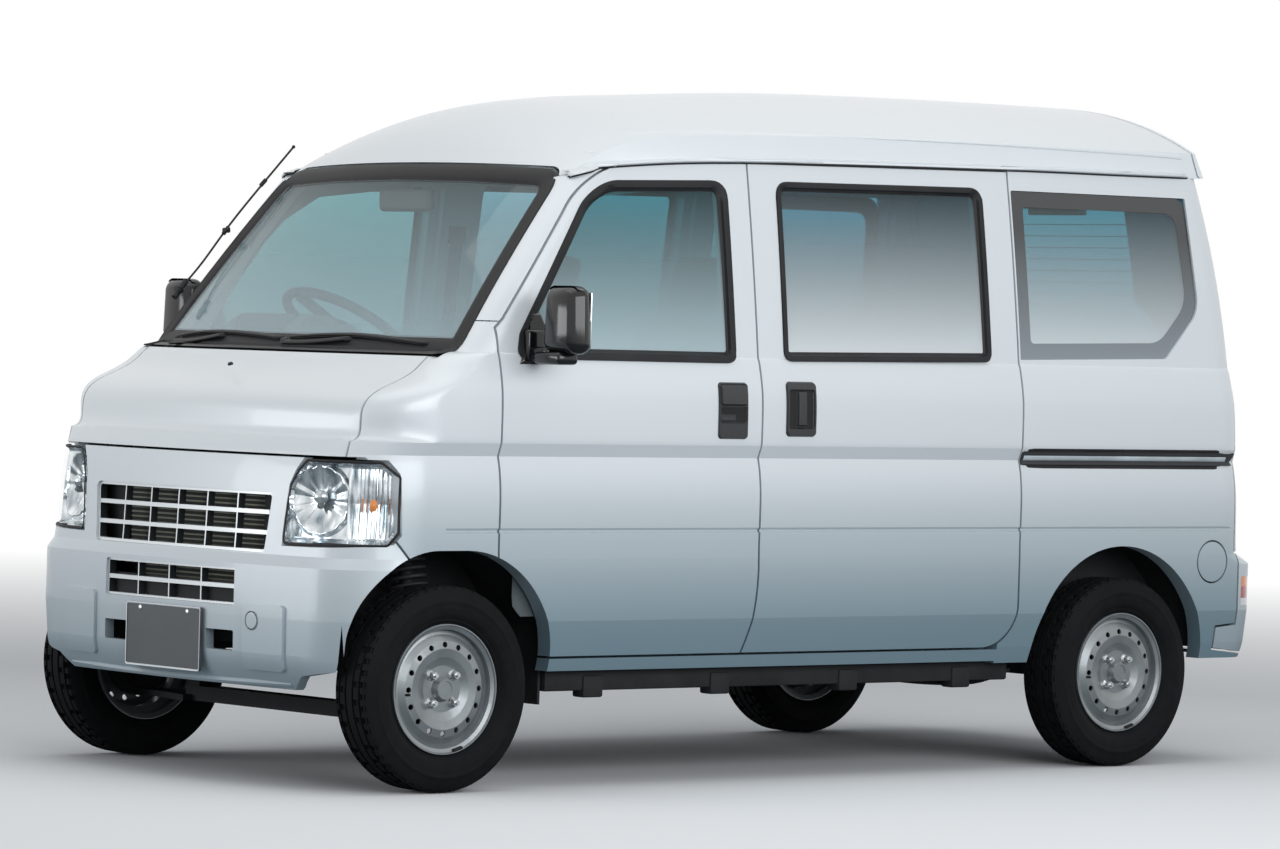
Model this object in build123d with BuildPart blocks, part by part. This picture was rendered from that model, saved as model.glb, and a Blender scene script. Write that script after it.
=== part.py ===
"""Semi-cab kei van: high roof, two hinged front doors, two sliding side doors, top-hinged tailgate.

Frame: X forward, Y to the van's left, Z up. The origin is on the ground under the middle of the body.
Each piece is made in its own block and written to parts/ under its own name.
"""
from build123d import *
from math import atan2, cos, hypot, pi, radians, sin, sqrt
import os

os.makedirs("parts", exist_ok=True)

# ---------------------------------------------------------------- driving sizes
length = 3395.0
body_width = 1475.0
height = 1880.0
wheelbase = 2420.0
front_overhang = 377.5
track = 1310.0
tyre_radius = 266.0
tyre_width = 145.0
rim_flange_radius = 167.0

# ---------------------------------------------------------------- walls, seams and clearances
wall = 50.0            # doors, body sides, tailgate and bonnet, measured in plan
bumper_wall = 28.0
roof_wall = 28.0
frame_depth = 24.0     # inner frame of pillars and rails behind the outer walls
glass = 5.0
glass_set_in = 7.0     # glass lies this far inside the outer surface
glass_clear = 0.4
seam = 6.5             # open gap between outer panels
seat_clear = 0.3       # rest gap between a piece and what carries it
move_clear = 6.0       # clearance of moving pieces

# ---------------------------------------------------------------- places worked out from them
half = body_width / 2
front_end = length / 2
rear_end = -length / 2
front_axle_x = front_end - front_overhang
rear_axle_x = front_axle_x - wheelbase
wheel_y = track / 2
axle_z = tyre_radius
wheels_mid_x = (front_axle_x + rear_axle_x) / 2

sill_z = 345.0
nose_seam_z = 855.0    # bonnet's front edge, over the lamps
cowl_z = 1114.0
belt_z = 1128.0
gutter_drop = 208.0
gutter_z = height - gutter_drop
form_top_z = gutter_z + 8

front_seam_x = front_axle_x - 144
b_seam_x = wheels_mid_x + 178
slide_seam_x = rear_axle_x + 429
tail_seam_x = rear_end + 156
rear_bumper_z = 598.0
tailgate_z = rear_bumper_z + 6.5

screen_foot_x = front_end - 345
screen_top_x = screen_foot_x - 0.846 * (form_top_z - belt_z)


def rise(share):
    """Height between belt and gutter, as a share of that distance."""
    return belt_z + share * (gutter_z - belt_z)


# Levels of the body, from below: height, inset of the side, set-back of the nose from the front end,
# radius of the nose in plan, front corner radius, set-back of the tail, rear corner radius.
skirt_levels = [
    (250, 45, 48, 5200, 170, 40, 95),
    (300, 27, 18, 5200, 185, 12, 110),
    (sill_z, 15, 9, 5200, 200, 1, 115),
]
turn_under_levels = [
    (sill_z, 15, 9, 5200, 200, 1, 115),
    (437, 0.8, 7.5, 5200, 205, 0, 115),
]
lower_levels = [
    (437, 0.8, 7.5, 5200, 205, 0, 115),
    (570, 0, 8, 5000, 205, 0, 115),
]
shoulder_levels = [
    (570, 0, 8, 5000, 205, 0, 115),
    (598, 0, 26, 4600, 210, 52, 115),
]
middle_levels = [
    (598, 0, 26, 4600, 210, 52, 115),
    (680, 0, 31, 4300, 215, 54, 118),
    (790, 1.5, 38, 4000, 215, 58, 118),
    (862, 14.5, 51, 3800, 205, 62, 118),
]
band_levels = [
    (862, 14.5, 51, 3800, 205, 62, 118),
    (895, 1.5, 65, 3700, 200, 64, 118),
]
nose_levels = [
    (895, 1.5, 65, 3700, 200, 64, 118),
    (980, 0.2, 104, 3400, 170, 70, 118),
    (1008, 1, 124, 3250, 150, 72, 118),
    (1030, 2.5, 160, 3100, 130, 74, 118),
    (1085, 12, 266, 2850, 105, 80, 118),
    (belt_z, 25.5, 345, 2650, 95, 84, 118),
]
glasshouse_levels = [
    (belt_z, 25.5, 345, 2650, 95, 84, 118),
    (rise(0.48), 56, 345 + 0.846 * rise(0.48) - 0.846 * belt_z - 12, 2500, 80, 118, 114),
    (form_top_z, 99, front_end - screen_top_x, 2350, 68, 187, 110),
]
tail_plan_radius = 4500.0


def plan_outline(level, inset):
    """Closed plan outline of the body at one level: bowed nose and tail, straight sides, round corners."""
    z, side_in, nose_back, nose_r, front_r, tail_back, rear_r = level
    side = half - side_in - inset
    ends = []
    for end_x, bow, corner in (
        (front_end - nose_back - inset, nose_r - inset, front_r - 0.6 * inset),
        (rear_end + tail_back + inset, tail_plan_radius - inset, rear_r - 0.6 * inset),
    ):
        way = 1 if end_x > 0 else -1
        bow_x = end_x - way * bow
        corner_y = side - corner
        corner_x = bow_x + way * sqrt((bow - corner) ** 2 - corner_y**2)
        angle = atan2(corner_y, way * (corner_x - bow_x))
        middle = (angle + pi / 2) / 2
        ends.append(
            {
                "tip": (end_x, 0),
                "meet": (bow_x + way * bow * cos(angle), bow * sin(angle)),
                "round": (corner_x + way * corner * cos(middle), corner_y + corner * sin(middle)),
                "side": (corner_x, side),
            }
        )
    front, rear = ends
    low = {key: (x, -y) for key, (x, y) in front.items()}
    rear_low = {key: (x, -y) for key, (x, y) in rear.items()}
    with BuildSketch(Plane.XY.offset(z)) as outline:
        with BuildLine():
            ThreePointArc(low["meet"], front["tip"], front["meet"])
            ThreePointArc(front["meet"], front["round"], front["side"])
            Line(front["side"], rear["side"])
            ThreePointArc(rear["side"], rear["round"], rear["meet"])
            ThreePointArc(rear["meet"], rear["tip"], rear_low["meet"])
            ThreePointArc(rear_low["meet"], rear_low["round"], rear_low["side"])
            Line(rear_low["side"], low["side"])
            ThreePointArc(low["side"], low["round"], low["meet"])
        make_face()
    return outline.sketch


def body_form(inset):
    """Solid of the body below the gutter, its surface moved inwards by the inset."""
    with BuildPart() as form:
        for levels in (
            skirt_levels,
            turn_under_levels,
            lower_levels,
            shoulder_levels,
            middle_levels,
            band_levels,
            nose_levels,
            glasshouse_levels,
        ):
            loft([plan_outline(level, inset) for level in levels])
    return form.part


# Side profile of the roof: distance from the front end, drop of the crown and of the side crease
# below the height. Between these places the drops follow a smooth curve.
roof_profile = [
    (690, 330, 400),
    (767, 251, 330),
    (880, 156, 250),
    (1020, 92, 194),
    (1180, 62, 168),
    (1573, 31, 152),
    (2015, 9, 143),
    (2695, 0, 138),
    (3500, 2, 138),
]
roof_foot_y = 637.0
roof_crease_y = 602.0
roof_crease_rise = 84.0


def roof_drop(back, column):
    """Drop of the crown (column 1) or crease (column 2) at a distance back from the front end."""
    rows = roof_profile
    slopes = [
        (after[column] - before[column]) / (after[0] - before[0])
        for before, after in zip(rows[:-2], rows[2:])
    ]
    slopes = [(rows[1][column] - rows[0][column]) / (rows[1][0] - rows[0][0])] + slopes + [0]
    index = max(i for i in range(len(rows) - 1) if rows[i][0] <= back)
    step = rows[index + 1][0] - rows[index][0]
    t = (back - rows[index][0]) / step
    return (
        (2 * t**3 - 3 * t**2 + 1) * rows[index][column]
        + (t**3 - 2 * t**2 + t) * step * slopes[index]
        + (3 * t**2 - 2 * t**3) * rows[index + 1][column]
        + (t**3 - t**2) * step * slopes[index + 1]
    )


def roof_section(back, inset):
    """Cross-section of the roof: leaning side walls up to a crease, and a crowned top between them."""
    crown = height - roof_drop(back, 1) - inset
    crease = height - roof_drop(back, 2) - inset
    foot = crease - roof_crease_rise
    foot_y = roof_foot_y - inset
    crease_y = roof_crease_y - inset
    with BuildSketch(Plane.YZ.offset(front_end - back)) as section:
        with BuildLine():
            Polyline((-crease_y, crease), (-foot_y, foot), (-foot_y, foot - 120))
            Line((-foot_y, foot - 120), (foot_y, foot - 120))
            Polyline((foot_y, foot - 120), (foot_y, foot), (crease_y, crease))
            ThreePointArc((crease_y, crease), (0, crown), (-crease_y, crease))
        make_face()
    return section.sketch


def roof_form(inset):
    """Solid of the high roof, its surface moved inwards by the inset."""
    stations = [690 + 61.25 * step for step in range(9)]
    tail_back = length + 60
    tail_steps = 9
    tail_stations = [1180 + (tail_back - 1180) * step / tail_steps for step in range(tail_steps + 1)]
    with BuildPart() as form:
        loft([roof_section(back, inset) for back in stations])
        loft([roof_section(back, inset) for back in tail_stations])
    return form.part


tail_cap_levels = [
    (gutter_z - 100, 40, 157, 110),
    (gutter_z, 40, 184, 110),
    (height - 120, 46, 203, 110),
    (height - 50, 60, 219, 110),
    (height - 8, 80, 243, 110),
    (height + 30, 100, 300, 110),
]


def tail_cap(inset):
    """Solid that rounds the roof down into the tailgate."""
    with BuildPart() as form:
        faces = []
        for z, side_in, tail_back, corner in tail_cap_levels:
            level = (z - inset, side_in, 200, 5000, 60, tail_back, corner)
            faces.append(plan_outline(level, inset))
        loft(faces)
    return form.part


def side_prism(outline, grow=0.0, y_out=900.0, y_in=300.0):
    """Block of a side-view outline (x, z), reaching from y_out in to y_in on the left."""
    with BuildPart() as block:
        with BuildSketch(Plane.XZ.offset(-y_out)):
            add(outline)
            if grow:
                offset(amount=grow)
        extrude(amount=y_out - y_in)
    return block.part


def front_prism(outline, grow=0.0, x_from=0.0, x_to=2000.0):
    """Block of a front-view outline (y, z), reaching from x_from to x_to."""
    with BuildPart() as block:
        with BuildSketch(Plane.YZ.offset(x_from)):
            add(outline)
            if grow:
                offset(amount=grow)
        extrude(amount=x_to - x_from)
    return block.part


def box_between(low, high):
    """Box from its low corner to its high corner."""
    with BuildPart() as block:
        with Locations(low):
            Box(high[0] - low[0], high[1] - low[1], high[2] - low[2], align=(Align.MIN,) * 3)
    return block.part


def shell(outer, inner):
    """What lies inside the outer solid and outside the inner one."""
    with BuildPart() as skin:
        add(outer)
        add(inner, mode=Mode.SUBTRACT)
    return skin.part


def cut_from(skin, keep, removed):
    """The part of a skin inside every keep solid and outside every removed solid."""
    with BuildPart() as piece:
        add(skin)
        for solid in keep:
            add(solid, mode=Mode.INTERSECT)
        for solid in removed:
            add(solid, mode=Mode.SUBTRACT)
    return piece.part


def both_sides(solid):
    """A left-hand solid and its mirror image on the right."""
    with BuildPart() as pair:
        add(solid)
        mirror(solid, about=Plane.XZ)
    return pair.part


def other_side(solid):
    """The right-hand mirror image of a left-hand solid."""
    with BuildPart() as copy:
        mirror(solid, about=Plane.XZ)
    return copy.part


def write(solid, name):
    """Label a finished piece and write it under its name."""
    solid.label = name
    export_step(solid, f"parts/{name}.step")


# ---------------------------------------------------------------- outlines in side view (x, z)
gutter_points = [
    (front_end - 690, gutter_z - 135),
    (front_end - 760, gutter_z - 97),
    (front_end - 860, gutter_z - 68),
    (front_end - 957, gutter_z - 49),
    (front_end - 1390, gutter_z - 23),
    (rear_end + 1040, gutter_z - 6),
    (rear_end + 100, gutter_z),
]
pillar_foot = (front_seam_x - 26, 1212)
pillar_bend = (front_end - 772, rise(0.682))
pillar_head = (front_end - 872, rise(0.849))
roof_turn = (front_end - 1021, rise(0.926))

with BuildSketch() as front_arch:
    with BuildLine():
        arch_back = front_axle_x - 334
        arch_front = front_axle_x + 287
        arch_top = axle_z + 355
        Line((arch_back, 100), (arch_back, arch_top - 290))
        RadiusArc((arch_back, arch_top - 290), (arch_back + 290, arch_top), 290)
        Line((arch_back + 290, arch_top), (arch_front - 240, arch_top))
        RadiusArc((arch_front - 240, arch_top), (arch_front, arch_top - 240), 240)
        Polyline((arch_front, arch_top - 240), (arch_front, 100), (arch_back, 100))
    make_face()

with BuildSketch() as rear_arch:
    with BuildLine():
        arch_mid = rear_axle_x + 22
        arch_radius = 341
        Line((arch_mid - arch_radius, 100), (arch_mid - arch_radius, 282))
        RadiusArc((arch_mid - arch_radius, 282), (arch_mid + arch_radius, 282), arch_radius)
        Polyline((arch_mid + arch_radius, 282), (arch_mid + arch_radius, 100), (arch_mid - arch_radius, 100))
    make_face()

with BuildSketch() as front_door_outline:
    with BuildLine():
        Line((b_seam_x + seam / 2, gutter_z - 26), (b_seam_x + seam / 2, 590))
        ThreePointArc((b_seam_x + seam / 2, 590), (b_seam_x + 13, 460), (b_seam_x + 47, sill_z))
        Polyline((b_seam_x + 47, sill_z), (front_seam_x - seam / 2, sill_z),
                 (front_seam_x - seam / 2, pillar_foot[1] - 22), pillar_foot, pillar_bend)
        ThreePointArc(pillar_bend, pillar_head, roof_turn)
        Line(roof_turn, (b_seam_x + seam / 2, gutter_z - 26))
    make_face()

with BuildSketch() as slide_door_outline:
    with BuildLine():
        Line((b_seam_x - seam / 2, gutter_z - 26), (b_seam_x - seam / 2, 590))
        ThreePointArc((b_seam_x - seam / 2, 590), (b_seam_x + 13 - seam, 460), (b_seam_x + 47 - seam, sill_z))
        Line((b_seam_x + 47 - seam, sill_z), (slide_seam_x + 120, sill_z))
        RadiusArc((slide_seam_x + 120, sill_z), (slide_seam_x, sill_z + 120), 120)
        Line((slide_seam_x, sill_z + 120), (slide_seam_x, gutter_z - 12))
        Line((slide_seam_x, gutter_z - 12), (b_seam_x - seam / 2, gutter_z - 26))
    make_face()

with BuildSketch() as tailgate_side:
    with BuildLine():
        Polyline((-3000, tailgate_z), (tail_seam_x, tailgate_z), (tail_seam_x, rise(0.1)))
        ThreePointArc((tail_seam_x, rise(0.1)), (tail_seam_x + 14, rise(0.54)), (tail_seam_x + 48, rise(0.885)))
        Polyline((tail_seam_x + 48, rise(0.885)), (tail_seam_x + 96, gutter_z + 8),
                 (tail_seam_x + 96, height + 100), (-3000, height + 100), (-3000, tailgate_z))
    make_face()

roof_points = [(x, z + 2 * seat_clear) for x, z in gutter_points]
with BuildSketch() as above_gutter:
    with BuildLine():
        Spline(*roof_points)
        Polyline(roof_points[-1], (-3000, roof_points[-1][1]), (-3000, height + 200),
                 (roof_points[0][0] + 300, height + 200), (roof_points[0][0] + 300, roof_points[0][1] - 100),
                 roof_points[0])
    make_face()

with BuildSketch() as below_gutter:
    with BuildLine():
        Spline(*gutter_points)
        Polyline(gutter_points[-1], (-3000, gutter_z), (-3000, 0), (3000, 0), (3000, gutter_points[0][1] - 100),
                 (gutter_points[0][0] + 60, gutter_points[0][1] - 60), gutter_points[0])
    make_face()

# Windows, as the outer edge of each seal.
with BuildSketch() as front_window_outline:
    with BuildLine():
        Polyline((b_seam_x + 86, 1122), (front_axle_x - 214, 1122), (front_axle_x - 226, 1176),
                 (front_end - 842, rise(0.74)), (front_end - 925, rise(0.825)), (b_seam_x + 86, rise(0.852)),
                 close=True)
    make_face()
    fillet(front_window_outline.vertices(), 26)

with BuildSketch() as slide_window_outline:
    with BuildLine():
        Polyline((b_seam_x - 96, 1126), (slide_seam_x + 105, 1136), (slide_seam_x + 105, rise(0.884)),
                 (b_seam_x - 101, rise(0.866)), close=True)
    make_face()
    fillet(slide_window_outline.vertices(), 32)

with BuildSketch() as quarter_window_outline:
    with BuildLine():
        Polyline((slide_seam_x - 12, 1140), (rear_end + 442, 1152), (rear_end + 300, 1290),
                 (rear_end + 326, rise(0.888)), (slide_seam_x - 12, rise(0.886)), close=True)
    make_face()
    fillet(quarter_window_outline.vertices().group_by(Axis.X)[0], 90)
    fillet(quarter_window_outline.vertices().sort_by(Axis.Y)[-2:], 6)

lamp_drop = 233.0
with BuildSketch() as lamp_side:
    with BuildLine():
        Polyline((front_end + 60, nose_seam_z - 9), (front_end - 186, nose_seam_z - 9),
                 (front_end - 209, nose_seam_z - 42), (front_end - 211, nose_seam_z - lamp_drop + 38),
                 (front_end - 192, nose_seam_z - lamp_drop + 16), (front_end + 60, nose_seam_z - lamp_drop - 8),
                 close=True)
    make_face()
with BuildSketch() as lamp_front:
    with BuildLine():
        Polyline((442, 590), (446, 690), (454, 779), (471, 818), (506, 870), (900, 870), (900, 590), close=True)
    make_face()

bumper_top_z = nose_seam_z - seam
with BuildSketch() as bumper_side:
    with BuildLine():
        Polyline((front_end + 60, 230), (front_end + 60, bumper_top_z), (front_end - 140, bumper_top_z),
                 (front_end - 196, 642), (front_end - 240, 586), (front_end - 262, 540), (front_end - 262, 230),
                 close=True)
    make_face()

with BuildSketch() as rear_bumper_side:
    with BuildLine():
        Polyline((rear_end - 60, 316), (rear_end - 60, rear_bumper_z), (tail_seam_x - 6, rear_bumper_z),
                 (tail_seam_x - 6, 395),
                 (rear_end + 230, 388), (rear_end + 230, 330), (rear_end + 100, 316), close=True)
    make_face()

# ---------------------------------------------------------------- outlines in front view (y, z)
with BuildSketch() as screen_outline:
    with BuildLine():
        Polyline((-582, rise(0.893)), (-652, belt_z), (652, belt_z), (582, rise(0.893)))
        ThreePointArc((582, rise(0.893)), (0, rise(0.915)), (-582, rise(0.893)))
    make_face()
    fillet(screen_outline.vertices().group_by(Axis.Y)[0], 24)
    fillet(screen_outline.vertices().group_by(Axis.Y)[-1], 60)

bonnet_half = 614.0
with BuildSketch() as bonnet_front:
    with Locations((0, (nose_seam_z + cowl_z) / 2)):
        Rectangle(2 * bonnet_half, cowl_z - nose_seam_z)

with BuildSketch() as rear_window_outline:
    with BuildLine():
        Polyline((-560, 1150), (560, 1150), (520, rise(0.9)), (-520, rise(0.9)), close=True)
    make_face()
    fillet(rear_window_outline.vertices(), 70)

# ---------------------------------------------------------------- body forms
outer_form = body_form(0)
inner_form = body_form(wall)
thin_form = body_form(glass_set_in)
bumper_inner = body_form(bumper_wall)
wall_skin = shell(outer_form, inner_form)
bumper_skin = shell(outer_form, bumper_inner)
glass_skin = shell(thin_form, body_form(glass_set_in + glass))
cabin_form = body_form(wall + frame_depth + seat_clear)
cabin_clear = body_form(wall + frame_depth + 2 * seat_clear)
frame_skin = shell(body_form(wall + seat_clear), cabin_form)
grille_skin = shell(thin_form, bumper_inner)
bumper_backing = body_form(bumper_wall + seat_clear)
clear_form = body_form(-seat_clear)
roof_outer = roof_form(0)
roof_skin = shell(roof_outer, roof_form(roof_wall))

front_arch_cut = side_prism(front_arch.sketch, 0, 900, 400)
rear_arch_cut = side_prism(rear_arch.sketch, 0, 900, 400)
door_in_y = 600.0      # the door's frame reaches no further inboard than this
door_cut = side_prism(front_door_outline.sketch, seam, 900, door_in_y - seam)
slide_cut = side_prism(slide_door_outline.sketch, seam)
tail_cut = side_prism(tailgate_side.sketch, seam, 900, -900)
front_window_cut = side_prism(front_window_outline.sketch)
slide_window_cut = side_prism(slide_window_outline.sketch)
quarter_window_cut = side_prism(quarter_window_outline.sketch)
above_gutter_block = side_prism(above_gutter.sketch, 0, 900, -900)
below_gutter_block = side_prism(below_gutter.sketch, 0, 900, -900)
screen_cut = front_prism(screen_outline.sketch, 0, screen_top_x - 200, 2000)
bumper_cut = side_prism(bumper_side.sketch, seam, 900, -900)
rear_bumper_cut = side_prism(rear_bumper_side.sketch, seam, 900, -900)
bonnet_cut = front_prism(bonnet_front.sketch, seam, 1100, 2000)

# The thin crease line along the body side, cut into doors and quarters.
crease_z = 671.0
with BuildPart() as crease_groove:
    with BuildSketch(Plane.YZ.offset(tail_seam_x)):
        with BuildLine():
            Polyline((half + 4, crease_z - 11), (half + 4, crease_z + 11), (half - 5.5, crease_z + 1),
                     (half - 5.5, crease_z - 3), close=True)
        make_face()
    extrude(amount=front_axle_x + 30 - tail_seam_x)

left_side = box_between((-3000, 300, 0), (3000, 1200, 3000))

# ---------------------------------------------------------------- doors
# The front doors are thinner beside the windscreen pillars, so that they swing clear of them.
pillar_relief = box_between((front_seam_x - 200, 500, 1175), (front_seam_x + 24, 648, 1500))
front_door = cut_from(
    wall_skin,
    [side_prism(front_door_outline.sketch, 0, 900, door_in_y), below_gutter_block],
    [front_window_cut, front_arch_cut, crease_groove.part, pillar_relief],
)
write(front_door, "front_door_left")
write(other_side(front_door), "front_door_right")

sliding_door = cut_from(
    wall_skin,
    [side_prism(slide_door_outline.sketch), below_gutter_block],
    [slide_window_cut, crease_groove.part],
)
write(both_sides(sliding_door), "sliding_doors")

# ---------------------------------------------------------------- outer body sides
fuel_x = rear_end + 261
fuel_z = 577.0
fuel_radius = 57.0
fuel_seam = 5.0
fuel_pocket_depth = 40.0
with BuildPart() as fuel_pocket:
    with BuildSketch(Plane.XZ.offset(-(half + 20))):
        with Locations((fuel_x, fuel_z)):
            Circle(fuel_radius + fuel_seam)
    extrude(amount=20 + fuel_pocket_depth)

pillar_seam_z = 1210.0
quarter = cut_from(
    wall_skin,
    [left_side, below_gutter_block, box_between((-3000, 300, 300), (slide_seam_x + 60, 1200, 3000))],
    [slide_cut, tail_cut, rear_bumper_cut, quarter_window_cut, rear_arch_cut, crease_groove.part],
)
rocker = cut_from(
    wall_skin,
    [box_between((rear_axle_x + 300, 300, 306), (front_axle_x - 200, 1200, sill_z - seam))],
    [front_arch_cut, rear_arch_cut],
)
pillar = cut_from(
    wall_skin,
    [left_side, below_gutter_block, box_between((b_seam_x, 300, pillar_seam_z), (3000, 1200, 3000))],
    [door_cut, slide_cut, screen_cut],
)
side_pieces = [quarter, rocker, pillar]
with BuildPart() as body_sides:
    for piece in side_pieces:
        add(piece)
        mirror(piece, about=Plane.XZ)
    add(fuel_pocket.part, mode=Mode.SUBTRACT)
write(body_sides.part, "body_sides")

# ---------------------------------------------------------------- front fenders and bonnet
lamp_block = cut_from(side_prism(lamp_side.sketch), [front_prism(lamp_front.sketch)], [])
lamp_cut = cut_from(side_prism(lamp_side.sketch, 3), [front_prism(lamp_front.sketch, 3)], [])
fender = cut_from(
    wall_skin,
    [left_side, box_between((front_axle_x - 160, 300, 300), (3000, 1200, pillar_seam_z - 3))],
    [door_cut, screen_cut, bonnet_cut, bumper_cut, lamp_cut, front_arch_cut, crease_groove.part,
     box_between((front_axle_x - 160, 0, cowl_z - 2), (3000, 652, belt_z + 1))],
)
write(both_sides(fender), "front_fenders")

bonnet = cut_from(bumper_skin, [front_prism(bonnet_front.sketch, 0, 1100, 2000)], [])
write(bonnet, "bonnet")

cowl_front_x = screen_foot_x + 22
cowl_panel = cut_from(
    shell(body_form(3), inner_form),
    [box_between((front_axle_x - 160, -648, cowl_z + move_clear), (cowl_front_x, 648, belt_z - seat_clear))],
    [],
)
write(cowl_panel, "cowl_panel")

# ---------------------------------------------------------------- front bumper, grilles, headlamps
grille_top_z = 757.0
grille_low_z = 600.0
with BuildSketch() as grille_outline:
    with BuildLine():
        Polyline((-392, grille_top_z), (392, grille_top_z), (374, grille_low_z), (-374, grille_low_z), close=True)
    make_face()
    fillet(grille_outline.vertices(), 16)
intake_half = 286.0
with BuildSketch() as intake_outline:
    with Locations((0, 510)):
        RectangleRounded(2 * intake_half, 96, 6)
with BuildSketch() as slot_outline:
    with Locations((-228, 371), (228, 371)):
        RectangleRounded(116, 52, 5)
with BuildSketch() as bumper_bottom:
    with BuildLine():
        Polyline((-800, 200), (-800, 345), (-650, 312), (-540, 294), (-494, 256), (494, 256), (540, 294),
                 (650, 312), (800, 345), (800, 200), close=True)
    make_face()
with BuildSketch() as tab_outline:
    with Locations((-409, 386), (409, 386)):
        RectangleRounded(156, 170, 14)
plate_width = 330.0
plate_height = 165.0
plate_low_z = 284.0

bumper_tabs = cut_from(
    shell(body_form(-8), body_form(5)),
    [front_prism(tab_outline.sketch, 0, 1400, 2000)],
    [],
)
with BuildPart() as front_bumper:
    add(bumper_skin)
    add(side_prism(bumper_side.sketch, 0, 900, -900), mode=Mode.INTERSECT)
    add(bumper_tabs)
    for block in (
        both_sides(lamp_cut),
        both_sides(front_arch_cut),
        front_prism(grille_outline.sketch, 0, 1400, 2000),
        front_prism(intake_outline.sketch, 0, 1400, 2000),
        front_prism(slot_outline.sketch, 0, 1400, 2000),
        front_prism(bumper_bottom.sketch, 0, 1300, 2000),
        both_sides(box_between((front_axle_x, 520, 200), (front_axle_x + tyre_radius + 30, 660, 460))),
    ):
        add(block, mode=Mode.SUBTRACT)
write(front_bumper.part, "front_bumper")

bar = 11.0
thin_bar = 5.0
with BuildSketch() as upper_bars:
    add(grille_outline.sketch)
    offset(amount=-0.5)
    with BuildSketch(mode=Mode.PRIVATE) as inner_edge:
        add(grille_outline.sketch)
        offset(amount=-8)
    add(inner_edge.sketch, mode=Mode.SUBTRACT)
    with GridLocations(0, (grille_top_z - grille_low_z) / 3, 1, 2):
        with Locations((0, (grille_top_z + grille_low_z) / 2)):
            Rectangle(752, bar)
    with GridLocations(125, 0, 5, 1):
        with Locations((0, (grille_top_z + grille_low_z) / 2)):
            Rectangle(thin_bar, grille_top_z - grille_low_z - 6)
with BuildSketch() as lower_bars:
    add(intake_outline.sketch)
    offset(amount=-0.5)
    with BuildSketch(mode=Mode.PRIVATE) as inner_edge:
        add(intake_outline.sketch)
        offset(amount=-6)
    add(inner_edge.sketch, mode=Mode.SUBTRACT)
    with Locations((0, 510)):
        Rectangle(2 * intake_half - 4, bar)
    with GridLocations(140, 0, 3, 1):
        with Locations((0, 510)):
            Rectangle(thin_bar, 92)
with BuildPart() as grilles:
    add(cut_from(grille_skin, [front_prism(upper_bars.sketch, 0, 1400, 2000)], []))
    add(cut_from(grille_skin, [front_prism(lower_bars.sketch, 0, 1400, 2000)], []))
write(grilles.part, "grilles")

lamp_depth = 55.0
headlamp = cut_from(shell(outer_form, body_form(lamp_depth)), [lamp_block], [])
write(both_sides(headlamp), "headlamps")

# ---------------------------------------------------------------- rear bumper and its lamps
with BuildSketch() as tail_lamp_outline:
    with Locations((-613, 492), (613, 492)):
        RectangleRounded(260, 84, 10)
with BuildPart() as rear_bumper:
    add(bumper_skin)
    add(side_prism(rear_bumper_side.sketch, 0, 900, -900), mode=Mode.INTERSECT)
    add(front_prism(tail_lamp_outline.sketch, 0, -1800, -1560), mode=Mode.SUBTRACT)
write(rear_bumper.part, "rear_bumper")
tail_lamps = cut_from(bumper_skin, [front_prism(tail_lamp_outline.sketch, -0.4, -1800, -1560.5)], [])
write(tail_lamps, "tail_lamps")

# ---------------------------------------------------------------- roof and tailgate
roof_panel = cut_from(
    roof_skin,
    [above_gutter_block],
    [tail_cut, front_prism(screen_outline.sketch, 3, screen_top_x - 300, 2000)],
)
write(roof_panel, "roof_panel")

tailgate_block = side_prism(tailgate_side.sketch, 0, 900, -900)
upper_outer = cut_from(roof_outer, [tail_cap(0)], [])
upper_inner = cut_from(roof_form(wall), [tail_cap(wall)], [])
with BuildPart() as tailgate:
    add(cut_from(wall_skin, [tailgate_block, box_between((-3000, -900, 0), (0, 900, gutter_z))], []))
    add(cut_from(shell(upper_outer, upper_inner),
                 [tailgate_block, box_between((-3000, -900, gutter_z), (0, 900, height + 50))], []))
    add(front_prism(rear_window_outline.sketch, 0, -1800, -1400), mode=Mode.SUBTRACT)
write(tailgate.part, "tailgate")

# ---------------------------------------------------------------- glass
windscreen = cut_from(glass_skin, [front_prism(screen_outline.sketch, -glass_clear, 700, 2000)], [])
write(windscreen, "windscreen")
door_window = cut_from(glass_skin, [side_prism(front_window_outline.sketch, -glass_clear)], [])
write(door_window, "door_window_left")
write(other_side(door_window), "door_window_right")
slide_window = cut_from(glass_skin, [side_prism(slide_window_outline.sketch, -glass_clear)], [])
quarter_window = cut_from(
    glass_skin, [side_prism(quarter_window_outline.sketch, -glass_clear)], [slide_cut]
)
with BuildPart() as side_windows:
    for piece in (slide_window, quarter_window):
        add(piece)
        mirror(piece, about=Plane.XZ)
write(side_windows.part, "side_windows")
rear_window = cut_from(glass_skin, [front_prism(rear_window_outline.sketch, -glass_clear, -1800, -1400)], [])
write(rear_window, "rear_window")

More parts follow.
